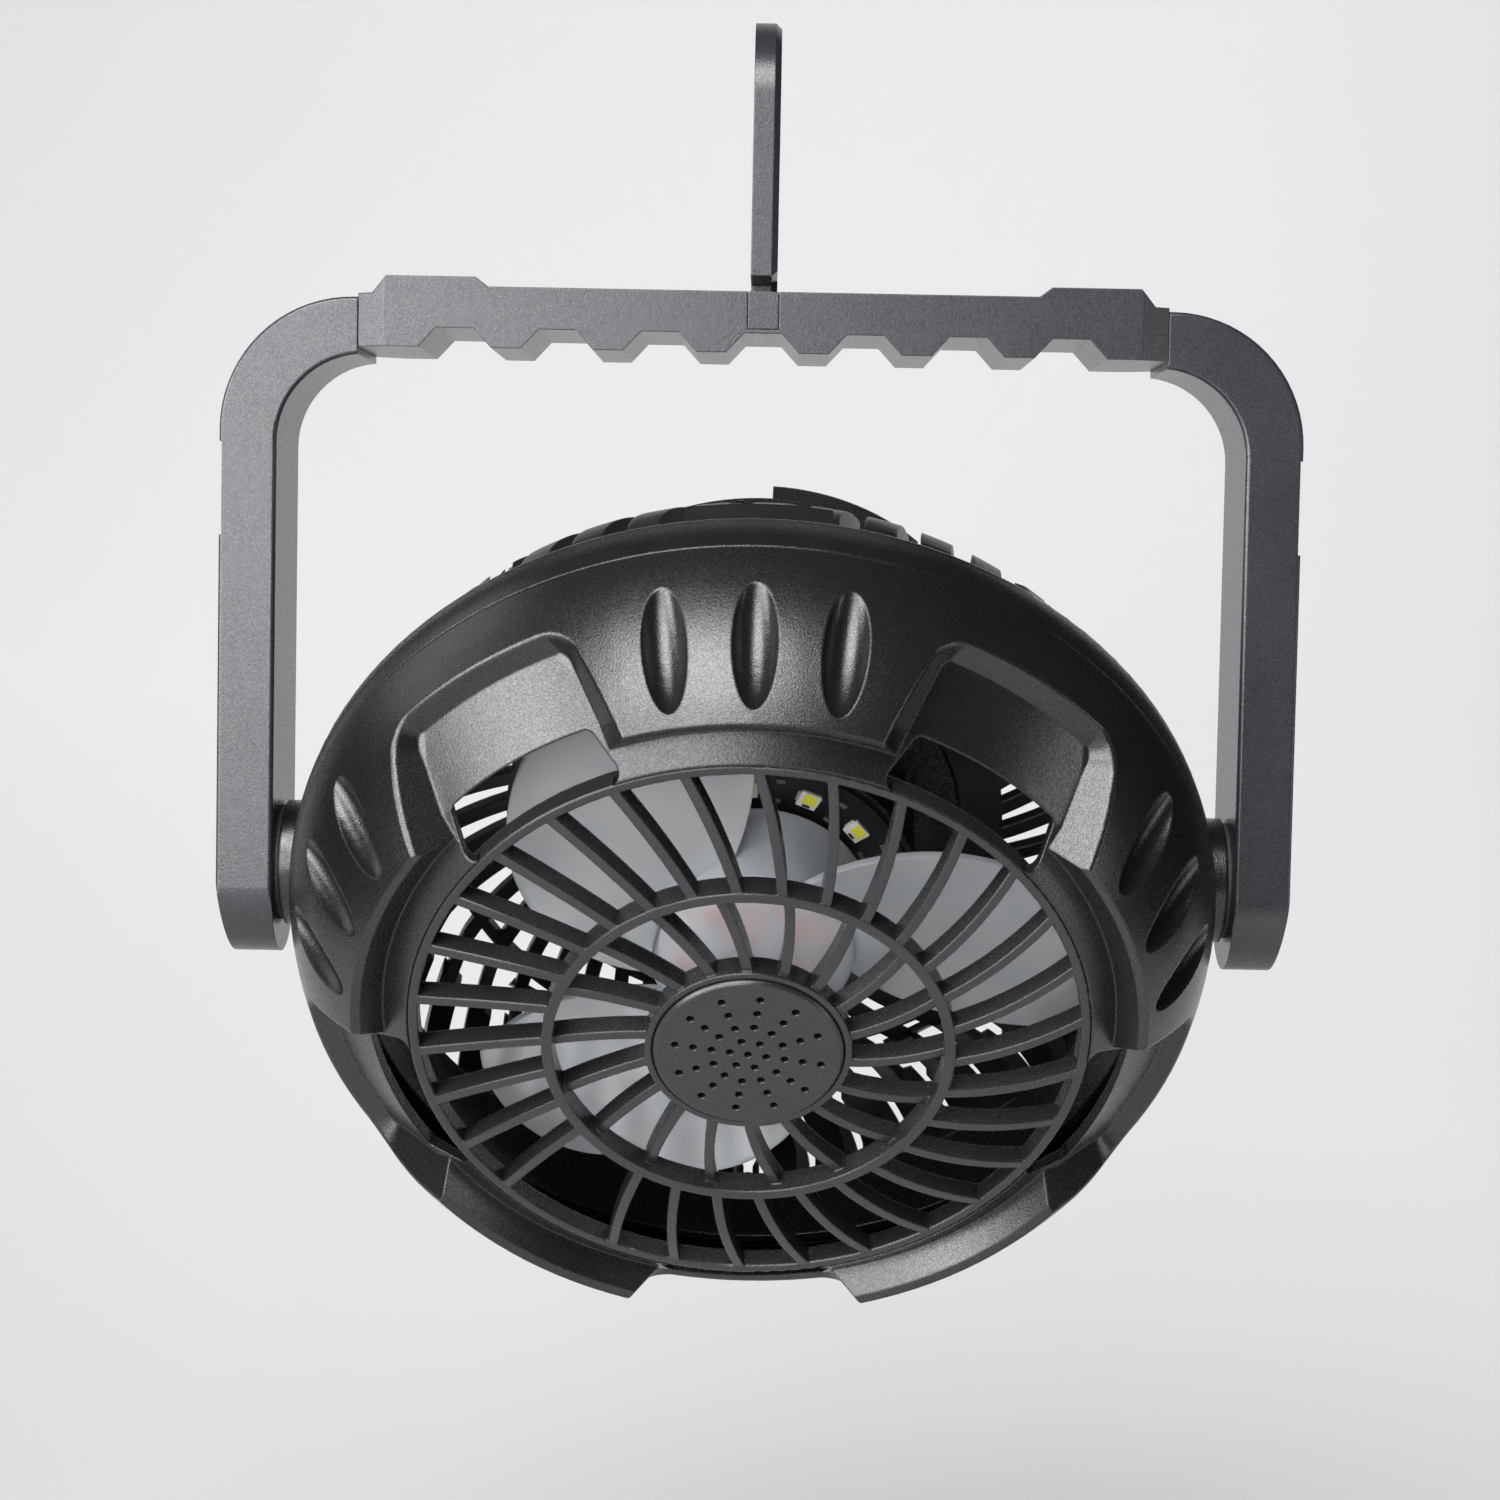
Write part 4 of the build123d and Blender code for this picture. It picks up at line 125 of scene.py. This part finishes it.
def bump(tree, height, depth, strength, normal=None):
    """Bump normal with its depth in metres, on top of another normal if one is given."""
    node = tree.nodes.new("ShaderNodeBump")
    node.inputs["Strength"].default_value = strength
    node.inputs["Distance"].default_value = depth
    tree.links.new(height, node.inputs["Height"])
    if normal:
        tree.links.new(normal, node.inputs["Normal"])
    return node.outputs["Normal"]


def soft_edges(tree, radius):
    """Normal that rounds the edges of moulded plastic."""
    node = tree.nodes.new("ShaderNodeBevel")
    node.samples = 6
    node.inputs["Radius"].default_value = radius
    return node.outputs["Normal"]


def moulded(name, dark, light, gloss, matt, grain, grain_depth, edge=0.0004, coat=0.0, glint=0.08):
    """Moulded plastic: a grained skin with glinting facets, small changes of tone and worn, rounded edges."""
    material, tree, shader = new_material(name)
    grains = object_noise(tree, grain, detail=3.0, roughness=0.6)
    clouds = object_noise(tree, CLOUDS_PER_METRE, detail=4.0)
    tone = ramp(tree, clouds, [(NOISE_LOW, dark), (NOISE_HIGH, light)])
    tree.links.new(tone, shader.inputs["Base Color"])
    tree.links.new(remap(tree, grains, gloss, matt, NOISE_LOW, NOISE_HIGH), shader.inputs["Roughness"])
    facets = object_cells(tree, grain * FACETS_PER_GRAIN)
    tree.links.new(remap(tree, facets, PLAIN_SPECULAR - glint, PLAIN_SPECULAR + glint),
                   shader.inputs["Specular IOR Level"])
    normal = soft_edges(tree, edge)
    tree.links.new(bump(tree, grains, grain_depth, 1.0, normal), shader.inputs["Normal"])
    shader.inputs["IOR"].default_value = PLASTIC_IOR
    shader.inputs["Coat Weight"].default_value = coat
    shader.inputs["Coat Roughness"].default_value = 0.25
    return material


def metal(name, colour, gloss, matt, scale=900):
    """Plated or bare metal with a fine, uneven finish."""
    material, tree, shader = new_material(name)
    shader.inputs["Metallic"].default_value = 1.0
    spots = object_noise(tree, scale, detail=3.0)
    deep = tuple(c * 0.8 for c in colour)
    tone = ramp(tree, spots, [(NOISE_LOW, deep), (NOISE_HIGH, colour)])
    tree.links.new(tone, shader.inputs["Base Color"])
    tree.links.new(remap(tree, spots, gloss, matt, NOISE_LOW, NOISE_HIGH), shader.inputs["Roughness"])
    tree.links.new(bump(tree, spots, 0.00001, 0.6, soft_edges(tree, 0.0002)), shader.inputs["Normal"])
    return material


def axis_radius(tree):
    """Distance from the head's axis, in millimetres."""
    coordinates = tree.nodes.new("ShaderNodeTexCoord")
    offset = tree.nodes.new("ShaderNodeVectorMath")
    offset.operation = "SUBTRACT"
    offset.inputs[1].default_value = PIVOT
    tree.links.new(coordinates.outputs["Object"], offset.inputs[0])
    crossed = tree.nodes.new("ShaderNodeVectorMath")
    crossed.operation = "CROSS_PRODUCT"
    crossed.inputs[1].default_value = FORWARD
    tree.links.new(offset.outputs["Vector"], crossed.inputs[0])
    length = tree.nodes.new("ShaderNodeVectorMath")
    length.operation = "LENGTH"
    tree.links.new(crossed.outputs["Vector"], length.inputs[0])
    scaled = tree.nodes.new("ShaderNodeMath")
    scaled.operation = "MULTIPLY"
    scaled.inputs[1].default_value = 1 / MM
    tree.links.new(length.outputs["Value"], scaled.inputs[0])
    return scaled.outputs["Value"]


def blended(tree, share, first, second):
    """Colour that goes from the first input to the second as the share goes from 0 to 1."""
    mix = tree.nodes.new("ShaderNodeMix")
    mix.data_type = "RGBA"
    tree.links.new(share, mix.inputs["Factor"])
    for socket, colour in ((mix.inputs["A"], first), (mix.inputs["B"], second)):
        if isinstance(colour, tuple):
            socket.default_value = (*colour, 1.0)
        else:
            tree.links.new(colour, socket)
    return mix.outputs["Result"]


BLADE_DEEP = (0.72, 0.74, 0.765)
BLADE_PALE = (0.80, 0.805, 0.81)
HUB_TONE = (0.86, 0.89, 0.92)
# Painted see-through light: the copper colour and its share painted on the hub face for the coils that show
# through the plastic.
PAINTED_COILS_SEEN_THROUGH = (0.86, 0.55, 0.52)
PAINTED_COILS_SHARE = 0.62
HUB_ENDS = (22.5, 27.0)
HUB_FACE_ENDS = (15.0, 19.5)


def milky_impeller():
    """Milky plastic, paler on the hub, with a faint copper colour painted on its face as painted see-through
    light, standing in for the coils that shine through it.
    """
    material, tree, shader = new_material("blade_plastic")
    radius = axis_radius(tree)
    waves = ramp(tree, object_noise(tree, 70, detail=2.0),
                 [(NOISE_LOW, BLADE_DEEP), (NOISE_HIGH, BLADE_PALE)])
    hub_share = remap(tree, radius, 1.0, 0.0, *HUB_ENDS)
    with_hub = blended(tree, hub_share, waves, HUB_TONE)
    # painted see-through light: copper patches on the hub face stand in for the coils seen through it
    spots = remap(tree, object_noise(tree, 90, detail=1.5), 0.0, PAINTED_COILS_SHARE, 0.42, 0.68)
    face_share = remap(tree, radius, 1.0, 0.0, *HUB_FACE_ENDS)
    painted_coils_share = tree.nodes.new("ShaderNodeMath")
    painted_coils_share.operation = "MULTIPLY"
    tree.links.new(spots, painted_coils_share.inputs[0])
    tree.links.new(face_share, painted_coils_share.inputs[1])
    colour = blended(tree, painted_coils_share.outputs["Value"], with_hub, PAINTED_COILS_SEEN_THROUGH)
    tree.links.new(colour, shader.inputs["Base Color"])
    shader.inputs["Roughness"].default_value = 0.24
    shader.inputs["Transmission Weight"].default_value = 0.62
    shader.inputs["IOR"].default_value = MILKY_IOR
    tree.links.new(soft_edges(tree, 0.0008), shader.inputs["Normal"])
    return material


def milky(name, colour, through, rough):
    """Milky, light-passing plastic."""
    material, tree, shader = new_material(name)
    waves = object_noise(tree, 90, detail=2.0)
    deep = tuple(c * 0.94 for c in colour)
    tone = ramp(tree, waves, [(NOISE_LOW, deep), (NOISE_HIGH, colour)])
    tree.links.new(tone, shader.inputs["Base Color"])
    tree.links.new(remap(tree, waves, rough, rough + 0.08, NOISE_LOW, NOISE_HIGH), shader.inputs["Roughness"])
    shader.inputs["Transmission Weight"].default_value = through
    shader.inputs["IOR"].default_value = MILKY_IOR
    return material


# ---------------------------------------------------------------- materials

frame_plastic = moulded("frame_plastic", (0.013, 0.0125, 0.015), (0.017, 0.0165, 0.0192), 0.22, 0.34,
                        2600, 0.000035, glint=0.11)
shell_plastic = moulded("shell_plastic", (0.0045, 0.0045, 0.005), (0.006, 0.006, 0.0067), 0.18, 0.34,
                        2600, 0.000045, edge=0.0007, glint=0.12)
grille_plastic = moulded("grille_plastic", (0.0085, 0.0085, 0.0093), (0.011, 0.011, 0.0118), 0.22, 0.32,
                         3600, 0.00002, edge=0.0007)
guard_plastic = moulded("guard_plastic", (0.0045, 0.0045, 0.005), (0.0065, 0.0065, 0.007), 0.30, 0.42,
                        3000, 0.00001, edge=0.0008)
drum_plastic = moulded("drum_plastic", (0.006, 0.006, 0.0065), (0.009, 0.009, 0.0095), 0.22, 0.34,
                       2600, 0.00003)
button_plastic = moulded("button_plastic", (0.06, 0.06, 0.062), (0.075, 0.075, 0.078), 0.4, 0.5,
                         2800, 0.00003)
holder_plastic = moulded("holder_plastic", (0.10, 0.10, 0.10), (0.12, 0.12, 0.12), 0.4, 0.55,
                         2000, 0.00003)
washer_rubber = moulded("washer_rubber", (0.012, 0.012, 0.012), (0.02, 0.02, 0.02), 0.6, 0.75,
                        1800, 0.00004)
black_board = moulded("black_board", (0.006, 0.006, 0.007), (0.009, 0.009, 0.010), 0.3, 0.4,
                      1500, 0.00001, edge=0.0001)
green_board = moulded("green_board", (0.008, 0.07, 0.03), (0.012, 0.09, 0.04), 0.3, 0.4,
                      1500, 0.00001, edge=0.0001)
led_package = moulded("led_package", (0.72, 0.70, 0.62), (0.80, 0.78, 0.70), 0.35, 0.5,
                      1500, 0.00001, edge=0.0001)
cell_wrap = moulded("cell_wrap", (0.02, 0.07, 0.22), (0.03, 0.09, 0.28), 0.25, 0.35,
                    900, 0.00002, coat=0.3)
magnet = moulded("magnet", (0.03, 0.03, 0.032), (0.045, 0.045, 0.047), 0.5, 0.7, 2200, 0.00004)
steel = metal("steel", (0.62, 0.62, 0.63), 0.25, 0.4)
black_steel = metal("black_steel", (0.07, 0.07, 0.07), 0.35, 0.5)
laminations = metal("laminations", (0.42, 0.43, 0.45), 0.35, 0.5)
copper = metal("copper", (0.75, 0.24, 0.12), 0.25, 0.4, 1600)
blade_plastic = milky_impeller()
lens_plastic = milky("lens_plastic", (0.85, 0.88, 0.9), 0.8, 0.15)

finish_of = {
    frame_plastic: ("handle_frame", "grip_front", "grip_rear", "hook_pivot_cover", "hook", "pivot_caps"),
    shell_plastic: ("front_bezel", "mid_frame", "rear_cover"),
    grille_plastic: ("front_grille", "centre_cap"),
    guard_plastic: ("rear_guard",),
    drum_plastic: ("drum_housing", "motor_pod"),
    button_plastic: ("light_button", "fan_button", "timer_button", "tact_switches"),
    holder_plastic: ("battery_holder",),
    washer_rubber: ("pivot_washers",),
    black_board: ("led_board",),
    green_board: ("control_board", "button_board"),
    led_package: ("led_packages",),
    cell_wrap: ("battery_cells",),
    magnet: ("magnet_ring",),
    steel: ("hook_pin", "bearings", "board_screws", "pivot_bolts", "usb_c_port", "rotor_yoke",
            "motor_shaft", "shaft_clip"),
    black_steel: ("grip_screws", "bezel_screws", "guard_screws", "drum_screws", "pod_screws",
                  "cover_screws"),
    laminations: ("stator_core",),
    copper: ("stator_coils",),
    blade_plastic: ("impeller",),
    lens_plastic: ("indicator_lens",),
}
for material, names in finish_of.items():
    for name in names:
        nodes[name].data.materials.clear()
        nodes[name].data.materials.append(material)

# ---------------------------------------------------------------- lights on the ring board

LED_COUNT = 13
LED_START = -3.0
LED_RADIUS = 26.6
PACKAGE_TOP = 6.8
BOARD_TOP = 6.0
WINDOW_SEAT = PACKAGE_TOP - 0.1
PAD_SEAT = BOARD_TOP - 0.05
WINDOW_OFFSET, MARK_OFFSET = 0.4, -1.35
PAD_TURN, CHIP_TURN = 4.9, 13.8
CHIP_OFFSETS = (-2.3, 2.6)


def head_box(points, radius, angle, height, along, out, thick):
    """Adds to points the eight corners of a plate that stands on a height of the head."""
    turn = radians(angle)
    outward = RIGHT * sin(turn) + UPWARD * cos(turn)
    sideways = RIGHT * cos(turn) - UPWARD * sin(turn)
    base = head_point(radius, angle, height)
    for level in (0.0, thick):
        for side, reach in ((-1, -1), (1, -1), (1, 1), (-1, 1)):
            points.append(base + (sideways * side * along / 2 + outward * reach * out / 2
                                  + FORWARD * level) * MM)


def plates(name, body, material, layout):
    """One piece of many small plates: radius, angle, height, size along, size outwards and thickness."""
    points, faces = [], []
    for plate in layout:
        first = len(points)
        head_box(points, *plate)
        for face in ((3, 2, 1, 0), (4, 5, 6, 7), (0, 1, 5, 4), (1, 2, 6, 5), (2, 3, 7, 6), (3, 0, 4, 7)):
            faces.append([first + corner for corner in face])
    mesh = bpy.data.meshes.new(name)
    mesh.from_pydata(points, [], faces)
    mesh.materials.append(material)
    piece = bpy.data.objects.new(name, mesh)
    bpy.context.scene.collection.objects.link(piece)
    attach(piece, body)


phosphor = moulded("phosphor", (0.78, 0.73, 0.05), (0.86, 0.81, 0.09), 0.3, 0.45, 2600, 0.00003, edge=0.0002)
solder = metal("solder", (0.70, 0.70, 0.68), 0.3, 0.45, 2200)
led_angles = [LED_START + index * 360 / LED_COUNT for index in range(LED_COUNT)]
plates("led_windows", "head", phosphor,
       [(LED_RADIUS + WINDOW_OFFSET, angle, WINDOW_SEAT, 2.9, 2.3, 0.18) for angle in led_angles])
plates("led_marks", "head", black_board,
       [(LED_RADIUS + MARK_OFFSET, angle, WINDOW_SEAT, 1.7, 0.55, 0.16) for angle in led_angles])
plates("led_pads", "head", solder,
       [(LED_RADIUS, angle + side * PAD_TURN, PAD_SEAT, 0.7, 2.4, 0.12)
        for angle in led_angles for side in (-1, 1)])
plates("board_chips", "head", holder_plastic,
       [(LED_RADIUS + offset, angle + CHIP_TURN, PAD_SEAT, 1.7, 0.9, 0.5)
        for angle in led_angles for offset in CHIP_OFFSETS])

# ---------------------------------------------------------------- studio

# Studio paper colours with painted shade: darker on the left and on the floor, where the lamps are near,
# lighter to the right.
WALL_LEFT = (0.50, 0.50, 0.493)
WALL_RIGHT = (0.585, 0.583, 0.577)
FLOOR_LEFT = (0.43, 0.43, 0.423)
FLOOR_RIGHT = (0.60, 0.598, 0.59)


FLOOR_LEVEL = -0.42
FLOOR_FRONT = -0.9
WALL_PLACE = 1.3
WALL_TOP = 2.6
BEND = 0.95
BEND_STEPS = 24
HALF_WIDTH = 0.85


def studio_shell():
    """Pale floor that curves up into a wall behind the fan, with painted shade: its colour is darker on the
    left and on the floor, where the lamps are near, and lighter to the right.
    """
    profile = [(FLOOR_FRONT, FLOOR_LEVEL), (WALL_PLACE - BEND, FLOOR_LEVEL)]
    for step in range(1, BEND_STEPS + 1):
        turn = step / BEND_STEPS * pi / 2
        profile.append((WALL_PLACE - BEND + BEND * sin(turn), FLOOR_LEVEL + BEND * (1 - cos(turn))))
    profile.append((WALL_PLACE, WALL_TOP))
    mesh = bpy.data.meshes.new("studio_floor")
    points = [(side * HALF_WIDTH, y, z) for side in (-1, 1) for y, z in profile]
    count = len(profile)
    faces = [(i, i + 1, count + i + 1, count + i) for i in range(count - 1)]
    mesh.from_pydata(points, [], faces)
    mesh.shade_smooth()
    floor = bpy.data.objects.new("studio_floor", mesh)
    bpy.context.scene.collection.objects.link(floor)
    material, tree, shader = new_material("studio_paper")
    coordinates = tree.nodes.new("ShaderNodeTexCoord")
    parts = tree.nodes.new("ShaderNodeSeparateXYZ")
    tree.links.new(coordinates.outputs["Object"], parts.inputs["Vector"])
    # painted shade: the paper's colour goes lighter to the right and darker down on the floor
    to_right = remap(tree, parts.outputs["X"], 0.0, 1.0, -0.45, 0.30)
    to_floor = remap(tree, parts.outputs["Z"], 1.0, 0.0, FLOOR_LEVEL, FLOOR_LEVEL + 0.25)
    wall_painted_shade = blended(tree, to_right, WALL_LEFT, WALL_RIGHT)
    floor_painted_shade = blended(tree, to_right, FLOOR_LEFT, FLOOR_RIGHT)
    tree.links.new(blended(tree, to_floor, wall_painted_shade, floor_painted_shade), shader.inputs["Base Color"])
    shader.inputs["Roughness"].default_value = 0.9
    mesh.materials.append(material)


def softbox(name, place, target, width, height, power, colour=(1.0, 1.0, 1.0), glossy=True):
    """Soft rectangular lamp that looks at a point, and that reflections can leave out."""
    lamp = bpy.data.lights.new(name, "AREA")
    lamp.shape = "RECTANGLE"
    lamp.size = width
    lamp.size_y = height
    lamp.energy = power
    lamp.color = colour
    holder = bpy.data.objects.new(name, lamp)
    holder.location = place
    holder.visible_glossy = glossy
    holder.visible_camera = False
    holder.rotation_euler = (Vector(target) - Vector(place)).to_track_quat("-Z", "Y").to_euler()
    bpy.context.scene.collection.objects.link(holder)


AIR_COLOUR = (0.93, 0.95, 1.0)
AIR_LIGHT = 0.3
AIR_SEEN = 0.8
COOL = (0.97, 0.98, 1.0)
DAYLIGHT = (0.98, 0.99, 1.0)

studio_shell()
softbox("window_front", (-0.62, -1.2, 0.02), PIVOT, 1.25, 0.75, 27.0, COOL)
softbox("window_side", (-1.15, -0.72, 0.10), PIVOT, 0.6, 0.8, 16.0, COOL)
softbox("window_above", (-0.3, -0.95, 0.74), PIVOT, 0.9, 0.7, 30.0, DAYLIGHT)
softbox("window_right", (1.05, -0.35, -0.3), PIVOT, 0.16, 0.7, 2.2, DAYLIGHT)
softbox("window_behind", (-1.0, 0.25, 0.5), PIVOT, 0.5, 0.6, 1.4, COOL)
softbox("wall_glow", (0.0, 0.4, 1.5), (0.0, 1.2, -0.1), 2.4, 0.6, 1.5, glossy=False)
world = bpy.data.worlds.new("studio_air")
world.use_nodes = True
air = world.node_tree
air.nodes["Background"].inputs["Color"].default_value = (*AIR_COLOUR, 1.0)
ray = air.nodes.new("ShaderNodeLightPath")
air.links.new(remap(air, ray.outputs["Is Camera Ray"], AIR_LIGHT, AIR_SEEN),
              air.nodes["Background"].inputs["Strength"])
bpy.context.scene.world = world
world.cycles_visibility.glossy = False
bpy.context.scene.view_settings.view_transform = "Standard"

# ---------------------------------------------------------------- camera

CAMERA_PLACE = Vector((0.003052, -0.614796, -0.105935))
CAMERA_YAW = radians(-0.386)
CAMERA_PITCH = radians(3.416)
CAMERA_ROLL = radians(1.115)
FRAME_WIDTH = 36.0
FOCAL_PIXELS, PICTURE_PIXELS = 2948.36, 1500
CAMERA_LENS = FRAME_WIDTH * FOCAL_PIXELS / PICTURE_PIXELS


def place_camera():
    """Camera at the photograph's place, from its yaw, pitch and roll."""
    look = Vector((sin(CAMERA_YAW) * cos(CAMERA_PITCH), cos(CAMERA_YAW) * cos(CAMERA_PITCH),
                   -sin(CAMERA_PITCH)))
    level_right = Vector((cos(CAMERA_YAW), -sin(CAMERA_YAW), 0.0))
    level_up = level_right.cross(look)
    right = level_right * cos(CAMERA_ROLL) + level_up * sin(CAMERA_ROLL)
    up = level_up * cos(CAMERA_ROLL) - level_right * sin(CAMERA_ROLL)
    data = bpy.data.cameras.new("photo_camera")
    data.lens = CAMERA_LENS
    data.sensor_width = FRAME_WIDTH
    data.clip_start = 0.01
    camera = bpy.data.objects.new("photo_camera", data)
    camera.matrix_world = Matrix(((right.x, up.x, -look.x, CAMERA_PLACE.x),
                                  (right.y, up.y, -look.y, CAMERA_PLACE.y),
                                  (right.z, up.z, -look.z, CAMERA_PLACE.z),
                                  (0.0, 0.0, 0.0, 1.0)))
    bpy.context.scene.collection.objects.link(camera)
    bpy.context.scene.camera = camera


place_camera()
